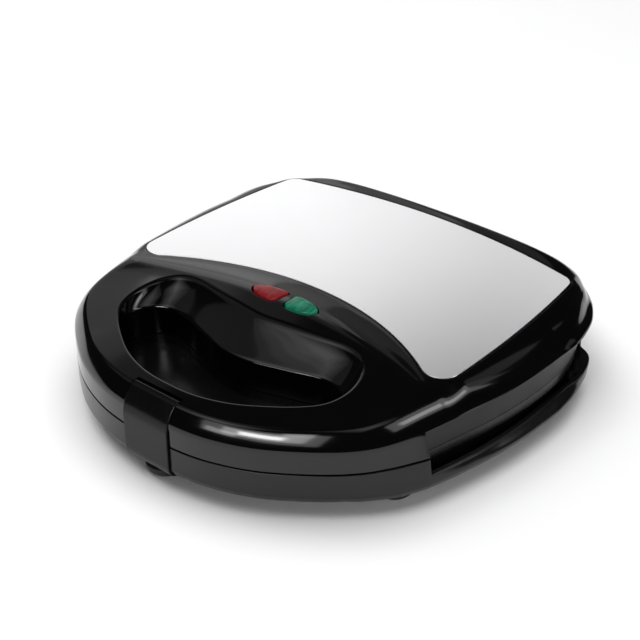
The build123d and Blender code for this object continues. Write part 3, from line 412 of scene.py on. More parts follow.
def vertex_normals(v, faces):
    n = np.zeros_like(v)
    for q in faces:
        p = v[list(q)]
        c = np.zeros(3)
        for i in range(1, len(q) - 1):
            c += np.cross(p[i] - p[0], p[i + 1] - p[0])
        for i in q:
            n[i] += c
    return n / np.maximum(np.linalg.norm(n, axis=1)[:, None], 1e-12)


def triangulate(boundary, holes, inner):
    """Delaunay triangles of a region; returns points, faces."""
    pts, edges = [], []
    for loop in [boundary] + list(holes):
        k = len(pts)
        pts += [tuple(p) for p in loop]
        edges += [(k + i, k + (i + 1) % len(loop)) for i in range(len(loop))]
    pts += [tuple(p) for p in inner]
    out = delaunay_2d_cdt([Vector(p) for p in pts], edges, [], 0, 1e-6)
    v = np.array([(p.x, p.y) for p in out[0]])
    f = [list(q) for q in out[2]]
    cen = np.array([v[q].mean(0) for q in f])
    ok = inside(cen, np.array(boundary))
    for h in holes:
        ok &= ~inside(cen, np.array(h))
    return v, [q for q, k in zip(f, ok) if k]


def inside(p, poly):
    x, y = p[:, 0], p[:, 1]
    res = np.zeros(len(p), bool)
    x0, y0 = poly[:, 0], poly[:, 1]
    x1, y1 = np.roll(x0, -1), np.roll(y0, -1)
    for a, b, c, d in zip(x0, y0, x1, y1):
        cond = (b > y) != (d > y)
        if cond.any():
            xx = (c - a) * (y[cond] - b) / (d - b) + a
            res[np.where(cond)[0]] ^= x[cond] < xx
    return res


def bezier(a, c, b, n):
    t = np.linspace(0, 1, n)
    t = t.reshape((n,) + (1,) * np.ndim(a))
    return (1 - t) ** 2 * a + 2 * t * (1 - t) * c + t * t * b


# ------------------------------------------------------------------ materials
def principled(name, **sockets):
    m = bpy.data.materials.new(name)
    m.use_nodes = True
    nt = m.node_tree
    b = nt.nodes["Principled BSDF"]
    for k, v in sockets.items():
        b.inputs[k.replace("_", " ")].default_value = v
    return m, nt, b


def noise(nt, scale, detail=4.0, rough=0.5, stretch=(1, 1, 1)):
    co = nt.nodes.new("ShaderNodeTexCoord")
    mp = nt.nodes.new("ShaderNodeMapping")
    mp.inputs["Scale"].default_value = stretch
    tx = nt.nodes.new("ShaderNodeTexNoise")
    tx.inputs["Scale"].default_value = scale
    tx.inputs["Detail"].default_value = detail
    tx.inputs["Roughness"].default_value = rough
    nt.links.new(co.outputs["Object"], mp.inputs["Vector"])
    nt.links.new(mp.outputs["Vector"], tx.inputs["Vector"])
    return tx.outputs["Fac"]


def remap(nt, src, lo, hi, a=0.3, b=0.7):
    r = nt.nodes.new("ShaderNodeMapRange")
    r.inputs["From Min"].default_value = a
    r.inputs["From Max"].default_value = b
    r.inputs["To Min"].default_value = lo
    r.inputs["To Max"].default_value = hi
    nt.links.new(src, r.inputs["Value"])
    return r.outputs["Result"]


def ramp(nt, src, c0, c1, p0=0.0, p1=1.0):
    r = nt.nodes.new("ShaderNodeValToRGB")
    r.color_ramp.elements[0].position = p0
    r.color_ramp.elements[1].position = p1
    r.color_ramp.elements[0].color = (*c0, 1)
    r.color_ramp.elements[1].color = (*c1, 1)
    nt.links.new(src, r.inputs["Fac"])
    return r.outputs["Color"]


def bump(nt, src, strength, distance, b):
    n = nt.nodes.new("ShaderNodeBump")
    n.inputs["Strength"].default_value = strength
    n.inputs["Distance"].default_value = distance
    nt.links.new(src, n.inputs["Height"])
    nt.links.new(n.outputs["Normal"], b.inputs["Normal"])
    return n


def plastic(name, c0, c1, r0, r1, grain=2600, strength=0.04, distance=0.0001, spec=0.5, coat=0.0,
            coat_rough=0.05):
    m, nt, b = principled(name, Specular_IOR_Level=spec, Coat_Weight=coat, Coat_Roughness=coat_rough)
    big = noise(nt, 14, 3)
    nt.links.new(ramp(nt, big, c0, c1, 0.3, 0.7), b.inputs["Base Color"])
    nt.links.new(remap(nt, noise(nt, 60, 5, 0.6), r0, r1), b.inputs["Roughness"])
    bump(nt, noise(nt, grain, 2), strength, distance, b)
    return m


def metal(name, c0, c1, r0, r1, scale=400, stretch=(1, 1, 1), strength=0.05, aniso=0.0, metallic=1.0):
    m, nt, b = principled(name, Metallic=metallic, Anisotropic=aniso)
    nt.links.new(ramp(nt, noise(nt, 9, 4), c0, c1, 0.3, 0.7), b.inputs["Base Color"])
    f = noise(nt, scale, 6, 0.6, stretch)
    nt.links.new(remap(nt, f, r0, r1), b.inputs["Roughness"])
    bump(nt, f, strength, 0.00005, b)
    return m


GLOSS = plastic("gloss_black", (0.0008, 0.0008, 0.0010), (0.0014, 0.0014, 0.0016), 0.075, 0.115,
                grain=900, strength=0.008, spec=0.50)
SATIN = plastic("satin_black", (0.0024, 0.0024, 0.0027), (0.0042, 0.0042, 0.0045), 0.19, 0.26,
                grain=3200, strength=0.05, spec=0.40)
LATCH_BLACK = plastic("latch_black", (0.0020, 0.0020, 0.0023), (0.0034, 0.0034, 0.0037), 0.20, 0.27,
                      grain=3000, strength=0.05, spec=0.24)
MATTE = plastic("matte_black", (0.0040, 0.0040, 0.0044), (0.0065, 0.0065, 0.0068), 0.34, 0.44,
                grain=2600, strength=0.14, spec=0.30)
POCKET = plastic("pocket_black", (0.0020, 0.0020, 0.0024), (0.0036, 0.0036, 0.0040), 0.22, 0.30,
                 grain=2600, strength=0.06, spec=0.36)
RUBBER = plastic("rubber_black", (0.008, 0.008, 0.008), (0.014, 0.014, 0.014), 0.55, 0.7,
                 grain=1800, strength=0.3, distance=0.0002, spec=0.35)
WIRE = plastic("sleeve_black", (0.010, 0.010, 0.011), (0.016, 0.016, 0.017), 0.45, 0.55,
               grain=1500, strength=0.2, spec=0.4)
IVORY = plastic("ivory_ceramic", (0.62, 0.60, 0.55), (0.72, 0.70, 0.65), 0.35, 0.5, strength=0.1)
STEEL = metal("cover_steel", (0.81, 0.81, 0.82), (0.83, 0.83, 0.84), 0.275, 0.30, scale=1600,
              stretch=(0.02, 1, 1), strength=0.004)
BRIGHT = metal("bright_steel", (0.55, 0.55, 0.56), (0.66, 0.66, 0.67), 0.22, 0.34)
ALU = metal("sheet_aluminium", (0.66, 0.66, 0.67), (0.78, 0.78, 0.79), 0.3, 0.45, scale=150)
ELEMENT = metal("element_sheath", (0.20, 0.17, 0.14), (0.34, 0.30, 0.26), 0.4, 0.6, scale=300,
                strength=0.2)
BRASS = metal("brass_fuse", (0.55, 0.42, 0.2), (0.66, 0.52, 0.26), 0.25, 0.4)
LAMP, _nt, _b = principled("lamp_glass", Roughness=0.05, Transmission_Weight=0.9, IOR=1.45)
_nt.links.new(ramp(_nt, noise(_nt, 300, 2), (0.9, 0.55, 0.35), (1.0, 0.75, 0.55), 0.3, 0.7),
              _b.inputs["Base Color"])


def nonstick():
    """Dark coating with fine metallic flecks."""
    m, nt, b = principled("nonstick_coating", Specular_IOR_Level=0.5)
    fleck = noise(nt, 2400, 2, 0.7)
    nt.links.new(ramp(nt, fleck, (0.018, 0.018, 0.019), (0.09, 0.09, 0.092), 0.62, 0.74),
                 b.inputs["Base Color"])
    nt.links.new(remap(nt, noise(nt, 90, 5), 0.30, 0.42), b.inputs["Roughness"])
    bump(nt, noise(nt, 1200, 3), 0.15, 0.0001, b)
    return m


COATED = nonstick()


def lens_material(name, deep, light, painted_glow):
    """Tinted clear plastic over a moulded pattern, with a faint painted glow in its own colour."""
    m, nt, b = principled(name, IOR=1.45)
    b.inputs["Specular IOR Level"].default_value = 0.38
    f = noise(nt, 520, 3, 0.55, (1, 0.12, 1))
    nt.links.new(ramp(nt, f, deep, light, 0.34, 0.66), b.inputs["Base Color"])
    nt.links.new(remap(nt, noise(nt, 200, 3), 0.12, 0.22), b.inputs["Roughness"])
    b.inputs["Transmission Weight"].default_value = 0.25
    # painted glow: a faint emission in the lens's colour, though the lens is no lamp
    b.inputs["Emission Color"].default_value = (*painted_glow, 1)
    b.inputs["Emission Strength"].default_value = 0.06
    bump(nt, f, 0.12, 0.0002, b)
    return m


# the last colour of each lens is its painted glow
RED = lens_material("red_lens_plastic", (0.06, 0.003, 0.005), (0.22, 0.010, 0.014), (1, 0.05, 0.05))
GREEN = lens_material("green_lens_plastic", (0.0, 0.05, 0.03), (0.010, 0.22, 0.125), (0.05, 0.9, 0.5))


# ------------------------------------------------------------------ the lid
def finger_opening():
    half = OPEN_LOW
    lean = OPEN_LEAN
    pts = mirrored(half)
    ext = lean + [(-a, b) for a, b in reversed(lean[1:-1])]
    lp = Loop(pts, ext)
    return lp


opening = finger_opening()
_a = np.array(mirrored(OPEN_LOW), float)
_area = np.sum(_a[:, 0] * np.roll(_a[:, 1], -1) - np.roll(_a[:, 0], -1) * _a[:, 1])
OPEN_CCW = _area > 0

N_OPEN = 560
open_t = opening.even(N_OPEN)
_ov = opening(open_t)
low_xy, lean_xy = _ov[:, :2], _ov[:, 2:]
if not OPEN_CCW:
    low_xy, lean_xy, open_t = low_xy[::-1], lean_xy[::-1], open_t[::-1]


def wall_xy(z, bow=0.0):
    """Outline of the opening's wall at height z (array or number)."""
    z = np.broadcast_to(z, (N_OPEN,))
    return low_xy + lean_xy * (z - Z_OPEN_LOW)[:, None]


edge_z = np.full(N_OPEN, 47.0)
for _ in range(60):
    p = wall_xy(edge_z)
    edge_z = edge_z + 0.45 * (lid_top(p[:, 0], p[:, 1]) - edge_z)
edge_xy = wall_xy(edge_z)


def outward(xy):
    """Outward normals of a counter-clockwise closed polygon."""
    d = np.roll(xy, -1, 0) - np.roll(xy, 1, 0)
    d /= np.linalg.norm(d, axis=1)[:, None]
    return np.stack([d[:, 1], -d[:, 0]], 1)


def to_surface(xy):
    return np.column_stack([xy, lid_top(xy[:, 0], xy[:, 1])])


lid = Build()

# rounded top edge of the finger opening
lean_len = np.linalg.norm(lean_xy, axis=1)
round_top = 1.5 + 1.3 * np.clip(lean_len / 1.75, 0, 1)
a_xy = edge_xy + outward(edge_xy) * round_top[:, None]
row_a = to_surface(a_xy)
corner = np.column_stack([edge_xy, edge_z])
drop = round_top * 0.75
BOW = 0.42


def scoop(s):
    """Point on the wall; s is 0 at the lower edge and 1 at the top edge."""
    z = Z_OPEN_LOW + (edge_z - Z_OPEN_LOW) * s
    f = s + BOW * s * (1 - s)
    zz = Z_OPEN_LOW + (edge_z - Z_OPEN_LOW) * f
    xy = low_xy + lean_xy * (zz - Z_OPEN_LOW)[:, None]
    return np.column_stack([xy, z])


s_top = 1 - drop / np.maximum(edge_z - Z_OPEN_LOW, 1e-3) * 0.8
row_b = scoop(s_top)
rows = [r for r in bezier(row_a, corner, row_b, 9)]
s_low = 0.9 / np.maximum(edge_z - Z_OPEN_LOW, 1e-3)
for k in range(1, 19):
    rows.append(scoop(s_top + (s_low - s_top) * k / 18))
crease = np.column_stack([low_xy, np.full(N_OPEN, Z_OPEN_LOW)])
below = np.column_stack([low_xy, np.full(N_OPEN, Z_OPEN_LOW - 1.0)])
rows += [r for r in bezier(rows[-1], crease, below, 7)][1:]
for z in (38.5, 36, 33, 30, 27.5, 25.65):
    rows.append(np.column_stack([low_xy, np.full(N_OPEN, z)]))
foot = np.column_stack([low_xy, np.full(N_OPEN, Z_LID0)])
back = np.column_stack([low_xy + outward(low_xy) * 0.5, np.full(N_OPEN, Z_LID0)])
rows += [r for r in bezier(rows[-1], foot, back, 5)][1:]
rows.append(np.column_stack([low_xy + outward(low_xy) * 2.3, np.full(N_OPEN, Z_LID0)]))
g = np.array(rows).transpose(1, 0, 2)
n = grid_normals(g, True)
if (n[:, 0, 2] < 0).mean() > 0.5:
    n = -n
n[:, 0] = lid_normal(row_a[:, 0], row_a[:, 1])
lid.grid(g, close=True, normals=n, flip=False)

# outline columns of the band and shoulder
E1 = 0.9                       # the crease is rounded from here
N_BODY = 1080


def columns(curve, breaks_y, breaks_x):
    """Parameters round an outline, with exact double columns at the breaks."""
    t = np.sort(curve.even(N_BODY))
    dense = curve.even(12000)
    p = curve(dense)[:, :2]
    cuts = []
    for y0 in breaks_y:
        for s in (1, -1):
            i = np.where((np.sign(p[:, 1] - y0) != np.sign(np.roll(p[:, 1], -1) - y0)) & (p[:, 0] * s > 0))[0][0]
            a, b = p[i, 1] - y0, p[(i + 1) % len(p), 1] - y0
            step = (dense[(i + 1) % len(p)] - dense[i]) % curve.period
            cuts.append(dense[i] + step * a / (a - b))
    for x0, rear in breaks_x:
        i = np.where((np.sign(p[:, 0] - x0) != np.sign(np.roll(p[:, 0], -1) - x0)) & ((p[:, 1] > 0) == rear))[0][0]
        a, b = p[i, 0] - x0, p[(i + 1) % len(p), 0] - x0
        step = (dense[(i + 1) % len(p)] - dense[i]) % curve.period
        cuts.append(dense[i] + step * a / (a - b))
    cuts = np.array(sorted(c % curve.period for c in cuts))
    gap = np.abs((t[:, None] - cuts[None, :] + curve.period / 2) % curve.period - curve.period / 2).min(1)
    t = t[gap > 0.12]
    eps = 1e-4
    t = np.sort(np.concatenate([t, cuts - eps, cuts + eps]))
    is_cut = np.zeros(len(t), bool)
    for c in cuts:
        is_cut[np.argmin(np.abs(t - (c - eps)))] = True
    return t, is_cut


LEAD_X = 26.0
lid_rear_cuts = [(s * x, True) for x in (LEAD_X, 49.9, 55.0, 69.05, 74.2) for s in (1, -1)]
lt, lcut = columns(body, (RECESS_Y0,), [(LATCH_SLOT / 2, False), (-LATCH_SLOT / 2, False),
                                        (RECESS_X, True), (-RECESS_X, True)] + lid_rear_cuts)
lp = body(lt)[:, :2]
ln = normals2d(body, lt)
NL = len(lt)


def lid_zone(i):
    x, y = lp[i]
    if y >= RECESS_Y0 and (y <= 90 or abs(x) >= RECESS_X):
        return "recess"
    if y < -100 and abs(x) < LATCH_SLOT / 2:
        return "slot"
    if y > 100:
        for lo, hi, r in ((0, LEAD_X, 2.9), (49.9, 55.0, 5.0), (69.05, 74.2, 5.0)):
            if lo <= abs(x) < hi:
                return r
    return "band"


def e_inset(i, e):
    """Inward distance at station e of the shoulder."""
    return e / 17.6 * float(np.interp(lp[i, 1], [-40, 0], [13.5, 17.6]))


def place(i, o, z, p=None, nn=None):
    p = lp if p is None else p
    nn = ln if nn is None else nn
    return (p[i, 0] + nn[i, 0] * o, p[i, 1] + nn[i, 1] * o, z)


l_corner = smooth_tab(CORNER, lp[:, 1])
l_flange = smooth_tab(FLANGE, lp[:, 1])
l_width = np.interp(lp[:, 1], [-40, 0], [13.5, 17.6]) / 17.6
inset1 = (E1 * (1 - l_corner) + 2.9 * l_corner) * l_width
top_xy = lp - ln * inset1[:, None]
top_rows = to_surface(top_xy)
FALL_Z = [-13.4, -12.6, -11.9, -11.0, -10.0, -9.0, -7.5, -6.0, 0]
FALL = [1.0, 0.99, 0.93, 0.58, 0.28, 0.12, 0.03, 0.0, 0.0]


def shoulder_at(i, h):
    """Inward distance of the lid's skin at height h under the plate."""
    side_e = 23.86 - np.sqrt(np.maximum(27.2**2 - (h + 26.47) ** 2, 1))
    corner_e = pchip([-13.4, -11.8, -11.15, -9.01, -6.84, -4.55, -2.7, -1.07, 0],
                     [0, 0.1, 0.2, 0.5, 1.2, 2.8, 5.2, 8.2, 11.5], h)
    return ((side_e * (1 - l_corner[i]) + corner_e * l_corner[i]) * l_width[i]
            - l_flange[i] * pchip(FALL_Z, FALL, h))


K1, K2 = 20, 38                # rows of the shoulder's end, rows before the inner return
band_cols = []
for i in range(NL):
    zone = lid_zone(i)
    lean = tab(FLARE, lp[i, 1]) / (Z_CREASE - Z_LID0)
    a = np.array([-inset1[i], top_rows[i, 2]])
    fl = l_flange[i]
    prof = []
    if lp[i, 1] > RECESS_Y0:
        # down the shoulder to the crease or the flange
        h0 = a[1] - Z_PLATE
        h1 = -13.0
        hs = np.linspace(h0, h1, K1 - 5)
        off = inset1[i] - shoulder_at(i, np.array([h0]))[0]
        fade = 1 - np.linspace(0, 1, K1 - 5) ** 2
        for h, k in zip(hs, fade):
            prof.append(np.array([-(shoulder_at(i, np.array([h]))[0] + off * k), Z_PLATE + h]))
        if zone == "recess":
            prof += list(bezier(prof[-1], np.array([fl, Z_CREASE + 0.05]), np.array([fl - 0.3, Z_CREASE]), 6))[1:]
        else:
            prof += list(bezier(prof[-1], np.array([fl, Z_CREASE]), np.array([lean * 1.6, Z_CREASE - 1.6]), 6))[1:]
    if zone == "recess":
        while len(prof) < K2:
            prof.append(prof[-1])
        prof += [np.array([fl - 0.95, Z_CREASE]), np.array([fl - WALL, Z_CREASE]), np.array([fl - WALL, Z_CREASE + 1.2])]
    else:
        if not prof:
            prof += list(bezier(a, np.array([0.0, Z_CREASE]), np.array([lean * 1.6, Z_CREASE - 1.6]), K1))
        if isinstance(zone, float):
            r = zone
            off = (HINGE_Y - lp[i, 1]) / max(ln[i, 1], 0.2)
            dz = math.sqrt(max(r * r - off * off, 0.01))
            zt = HINGE_Z + dz
            for z in np.linspace(Z_CREASE - 1.6, zt, 9)[1:]:
                prof.append(np.array([0.0, z]))
            a0 = math.atan2(dz, -off)
            a1 = math.pi - math.asin((Z_LID0 - HINGE_Z) / r)
            for q in np.linspace(a0, a1, 10)[1:]:
                prof.append(np.array([off + r * math.cos(q), HINGE_Z + r * math.sin(q)]))
            end = prof[-1]
            inner = min(end[0] - 0.3, -WALL)
            prof += [np.array([inner, Z_LID0]), np.array([inner, Z_LID0 + 0.4]), np.array([inner, 33.0])]
            while len(prof) < K2 + 3:
                prof.append(prof[-1])
        else:
            zl = Z_LID0 + 0.3
            for z in np.linspace(Z_CREASE - 1.6, zl + 0.3, 13)[1:]:
                prof.append(np.array([lean * (Z_CREASE - z), z]))
            ob = lean * (Z_CREASE - zl)
            prof += list(bezier(prof[-1], np.array([ob, zl]), np.array([ob - 0.3, zl]), 6))[1:]
            while len(prof) < K2:
                prof.append(prof[-1])
            prof += [np.array([-WALL * 0.8, zl]), np.array([-WALL, zl + 0.3]), np.array([-WALL, 33.0])]
    prof = prof[:K2 + 3]
    band_cols.append([place(i, o, z) for o, z in prof])
band_cols = np.array(band_cols)
zones = [lid_zone(i) for i in range(NL)]


def run_columns(target, cols, cuts, zones, first_normals=None, skip=("slot",), keep=None, mat=0):
    """Grid patches between cuts, with flat end strips where the section changes."""
    n = len(cols)
    starts = [i for i in range(n) if cuts[i]]
    for a, b in zip(starts, starts[1:] + [starts[0] + n]):
        ids = [(a + 1 + k) % n for k in range(b - a)]
        if zones[ids[0]] in skip:
            continue
        g = cols[ids]
        nn = grid_normals(g, False)
        if first_normals is not None:
            nn[:, 0] = first_normals[ids]
        target.grid(g, normals=orient(nn, g), flip=False, keep=keep, mat=mat)
    for a in starts:
        b = (a + 1) % n
        za, zb = zones[a], zones[b]
        if za in skip or zb in skip:
            continue
        target.ladder(cols[a], cols[b], mat=mat, flip=zone_size(zb) > zone_size(za))


def zone_size(z):
    return {"band": 10.0, "slot": -1.0, "ledge": 4.0, "recess": 0.0}.get(z, 0) if isinstance(z, str) else 8 - z * 0.1


def orient(nn, g):
    """Outer rows face away from the middle."""
    mid = g[:, 12]
    out = mid[:, :2] - np.array([0, 0])
    s = (nn[:, 12, :2] * out).sum(1)
    return -nn if (s < 0).mean() > 0.5 else nn


run_columns(lid, band_cols, lcut, zones, first_normals=lid_normal(top_xy[:, 0], top_xy[:, 1]))

# ---- top skin, cut out round the plate, the finger opening, the lenses and the latch
Y_CUT = -113.55
slot_pts = []
in_slot = np.array([z == "slot" for z in zones])
outer_loop = []
for i in range(NL):
    if not in_slot[i]:
        outer_loop.append(tuple(top_xy[i]))
# the outline starts at the front centre, so the slot is at both ends of the list
left_end = [q for q in np.linspace(0, 1, 9)]
xl = LATCH_SLOT / 2
ys = np.linspace(top_xy[np.where(~in_slot)[0][0], 1], Y_CUT, 9)
first, last = outer_loop[0], outer_loop[-1]
notch = [(last[0], y) for y in ys[1:]] + [(x, Y_CUT) for x in np.linspace(last[0], first[0], 25)[1:-1]] \
    + [(first[0], y) for y in ys[::-1][:-1]]
outline = outer_loop + notch


def lens_loop(s, grow, n=110):
    lo = Loop(LENS)
    t = lo.even(n)
    p = lo(t)[:, :2]
    a = np.sum(p[:, 0] * np.roll(p[:, 1], -1) - np.roll(p[:, 0], -1) * p[:, 1])
    if a < 0:
        p = p[::-1]
    p = p + outward(p) * grow
    if s < 0:
        p = (p * np.array([-1, 1]))[::-1]
    return p


recess_edge = plate_polygon(0.7 + 0.4)
recess_wall = plate_polygon(0.7)
lens_holes = [lens_loop(s, -0.2 + 0.35) for s in (1, -1)]
holes = [a_xy, recess_edge] + lens_holes

inner_pts = []
for e in np.arange(1.7, 17.7, 0.85):
    k = slice(0, NL, 1)
    w = np.interp(lp[:, 1], [-40, 0], [13.5, 17.6])
    q = lp - ln * (e / 17.6 * w)[:, None]
    inner_pts.append(q[::1])
inner_pts = np.vstack(inner_pts)
gx, gy = np.meshgrid(np.arange(-104, 104.1, 1.5), np.arange(-112, 108.1, 1.5))
gx = gx + 0.75 * (np.arange(gx.shape[0]) % 2)[:, None]
grid_pts = np.stack([gx.ravel(), gy.ravel()], 1)
dd = body_dist(grid_pts[:, 0], grid_pts[:, 1])
ee = dd * 17.6 / np.interp(grid_pts[:, 1], [-40, 0], [13.5, 17.6])
grid_pts = grid_pts[ee > 18.2]
# rings that follow the opening
rings = [a_xy + outward(a_xy) * d for d in (0.8, 1.7, 2.7, 3.8)]
cand = np.vstack([inner_pts, grid_pts])
ok = inside(cand, np.array(outline))
for h in holes:
    ok &= ~inside(cand, np.array(h))
cand = cand[ok]


def clear_of(points, loops, margin):
    tree = kdtree.KDTree(sum(len(l) for l in loops))
    k = 0
    for l in loops:
        for p in l:
            tree.insert((p[0], p[1], 0), k)
            k += 1
    tree.balance()
    d = np.fromiter((tree.find((a, b, 0))[2] for a, b in points), float, len(points))
    return points[d > margin]


cand = clear_of(cand, [a_xy, recess_edge, np.array(outline)] + lens_holes, 0.55)
v2, f2 = triangulate(outline, holes, cand)
zz = lid_top(v2[:, 0], v2[:, 1])
lid.add(np.column_stack([v2, zz]), f2, lid_normal(v2[:, 0], v2[:, 1]))


def lip(target, loop, grow, depth, radius, z_end, mat=0):
    """Small round and wall down from the top skin round a hole."""
    top = to_surface(loop)
    wall = loop - outward(loop) * grow
    ztop = lid_top(wall[:, 0], wall[:, 1])
    c = np.column_stack([wall, ztop])
    b = np.column_stack([wall, ztop - radius])
    rows = list(bezier(top, c, b, 5))
    rows.append(np.column_stack([wall, np.full(len(wall), z_end)]))
    g = np.array(rows).transpose(1, 0, 2)
    nn = grid_normals(g, True)
    if nn[:, 0, 2].mean() < 0:
        nn = -nn
    nn[:, 0] = lid_normal(loop[:, 0], loop[:, 1])
    target.grid(g, close=True, normals=nn)


lip(lid, recess_edge, 0.4, 0.9, 0.4, 49.1)
# outlines for a floor of the plate's recess and a rim under the plate's edge; only the outlines are computed
fl = [np.column_stack([recess_wall, np.full(len(recess_wall), 49.1)])]
inner_rim = plate_polygon(-6.0)
for s in (1, -1):
    lip(lid, lens_loop(s, 0.15), 0.35, 3, 0.35, 47.0)

# ---- walls of the latch slot
path = []
a0 = math.atan2(45.4 - LATCH_Z, Y_CUT - LATCH_Y)
r = LATCH_R + 0.4
start = math.atan2(math.sqrt(max(r * r - (Y_CUT - LATCH_Y) ** 2, 0)), Y_CUT - LATCH_Y)
stop = math.atan2(37.25 - LATCH_Z, -118.55 - LATCH_Y)
for q in np.linspace(start, stop, 30):
    path.append((LATCH_Y + r * math.cos(q), LATCH_Z + r * math.sin(q)))
path += [(-121.2, 35.75), (-121.6, 35.3), (-121.6, 30), (-121.6, Z_LID0)]
zc = float(lid_top(np.array([0.0]), np.array([Y_CUT]))[0])
path = [(Y_CUT, zc)] + path
path = np.array(path)
xs = np.linspace(-xl, xl, 13)
g = np.array([[(x, y, z) for y, z in path] for x in xs])
# the first row lies on the skin
g[:, 0, 2] = lid_top(xs, np.full(len(xs), Y_CUT))
nn = grid_normals(g, False)
want = np.array([0, -1, 0.3])
if (nn[:, -2] * want).sum(1).mean() < 0:
    nn = -nn
lid.grid(g, normals=nn)
for s in (1, -1):
    i0 = np.where(~in_slot)[0][0] if s * top_xy[np.where(~in_slot)[0][0], 0] > 0 else np.where(~in_slot)[0][-1]
    prof = band_cols[i0][:K2]
    skin = [(s * xl, y, float(lid_top(np.array([s * xl]), np.array([y]))[0])) for y in np.linspace(Y_CUT, top_xy[i0, 1], 10)]
    outer = np.array(skin[:-1] + [tuple(q) for q in prof])
    poly = [(q[1], q[2]) for q in outer]
    keep = [poly[0]]
    for q in poly[1:]:
        if math.hypot(q[0] - keep[-1][0], q[1] - keep[-1][1]) > 1e-3:
            keep.append(q)
    loop = keep + [tuple(q) for q in path[::-1][:-1]]
    v, f = triangulate(loop, [], [])
    lid.add(np.column_stack([np.full(len(v), s * xl), v]), f, [(-s, 0, 0)] * len(v))


# ------------------------------------------------------------------ small solids
def extrude_rounded(target, prof, x0, x1, r=0.5, mat=0, steps=5, mid=2):
    """Closed section prof (y, z) along x, with its end edges rounded by r."""
    prof = np.array(prof, float)
    a = np.sum(prof[:, 0] * np.roll(prof[:, 1], -1) - np.roll(prof[:, 0], -1) * prof[:, 1])
    if a < 0:
        prof = prof[::-1]
    nrm = outward(prof)
    q = np.linspace(0, math.pi / 2, steps)
    xs, ins = [], []
    for t in q:
        xs.append(x0 + r * (1 - math.sin(t)))
        ins.append(r * (1 - math.cos(t)))
    xs, ins = xs[::-1], ins[::-1]
    body_x = list(np.linspace(x0 + r, x1 - r, mid + 2)[1:-1])
    allx = xs[::1]
    alli = ins[::1]
    order = sorted(zip(allx, alli))
    seq = order + [(x, 0.0) for x in body_x] + [(x1 - (x - x0), i) for x, i in order[::-1]]
    g = np.array([[(x, *(p - nn * i)) for p, nn in zip(prof, nrm)] for x, i in seq]).transpose(1, 0, 2)
    n = grid_normals(g, True)
    cen = np.append([(x0 + x1) / 2], prof.mean(0))
    k = len(seq) // 2
    s = np.sum(n[:, k, 1:] * nrm)
    if s < 0:
        n = -n
    target.grid(g, close=True, normals=n, mat=mat)
    for x, i, sx in ((x0, seq[0][1], -1), (x1, seq[-1][1], 1)):
        loop = [tuple(p - nn * i) for p, nn in zip(prof, nrm)]
        v, f = triangulate(loop, [], [])
        target.add(np.column_stack([np.full(len(v), x), v]), f, [(sx, 0, 0)] * len(v), mat)


def arc_pts(cy, cz, r, a0, a1, n):
    return [(cy + r * math.cos(q), cz + r * math.sin(q)) for q in np.radians(np.linspace(a0, a1, n))]


# knuckles of the lid
KN = arc_pts(HINGE_Y, HINGE_Z, KNUCKLE_R, 70, -178, 34) + [(112.6, Z_LID0), (112.6, 33.2), (116.2, 33.2)]
for s in (1, -1):
    extrude_rounded(lid, KN, s * HINGE_X - KNUCKLE_W / 2, s * HINGE_X + KNUCKLE_W / 2, r=0.45, mid=3)

lid_obj = lid.make("lid_casing", [GLOSS], "lid", ["lid_shell"])


# ------------------------------------------------------------------ the base
base_rear_cuts = [(s * x, True) for x in (LEAD_X, HINGE_X - 7.4, HINGE_X + 7.4) for s in (1, -1)]
bt, bcut = columns(base_loop, (RECESS_Y0, LEDGE_Y, RECESS_Y1),
                   [(LATCH_SLOT / 2, False), (-LATCH_SLOT / 2, False)] + base_rear_cuts)
bp = base_loop(bt)[:, :2]
bn = normals2d(base_loop, bt)
NB = len(bt)
# direction in which the skin draws in below: its normal in front, towards the middle behind
_c = np.stack([np.clip(bp[:, 0], -80, 80), np.minimum(bp[:, 1], 50)], 1)
_r = bp - _c
_r /= np.maximum(np.linalg.norm(_r, axis=1)[:, None], 1e-9)
_w = np.clip((bp[:, 1] - 20) / 25, 0, 1)[:, None]
bd = bn * (1 - _w) + _r * _w
bd /= np.linalg.norm(bd, axis=1)[:, None]


def place_base(i, o, z, out):
    """Point at offset o, where out is the part of it that follows the outline."""
    p = bp[i] + bn[i] * out + bd[i] * (o - out)
    return (p[0], p[1], z)


def base_zone(i):
    x, y = bp[i]
    if LEDGE_Y < y <= RECESS_Y1:
        return "ledge"
    if RECESS_Y0 <= y <= RECESS_Y1:
        return "recess"
    if y < -100 and abs(x) < LATCH_SLOT / 2:
        return "slot"
    if y > 100:
        if abs(x) < LEAD_X:
            return 2.9
        if abs(abs(x) - HINGE_X) < 7.4:
            return 4.9
    return "band"


def base_profile_fn(y):
    """Outward offset of the base's skin at height z."""
    f, r, b = tab(FLARE, y), tab(RIM, y), tab(BELLY, y)
    zs = [Z_BOTTOM, 6.8, 8.2, 10.2, 12.5, SKIRT_RIM, Z_BASE1]
    os_ = [b - 7.6, b - 4.9, b - 2.6, b - 0.9, b, r, f]
    ts = [b, b, b, b, b, r, f]
    return (lambda z: pchip(zs, os_, z)), (lambda z: pchip(zs, ts, np.clip(z, Z_BOTTOM, Z_BASE1)))


def reach_core(i, out, margin):
    """Offset at which the drawn-in direction meets the inner wall."""
    lo, hi = -16.0, out
    for _ in range(22):
        mid = (lo + hi) / 2
        x, y, _z = place_base(i, mid, 0, out)
        if float(core_dist(x, y)) > margin:
            lo = mid
        else:
            hi = mid
    return (lo + hi) / 2


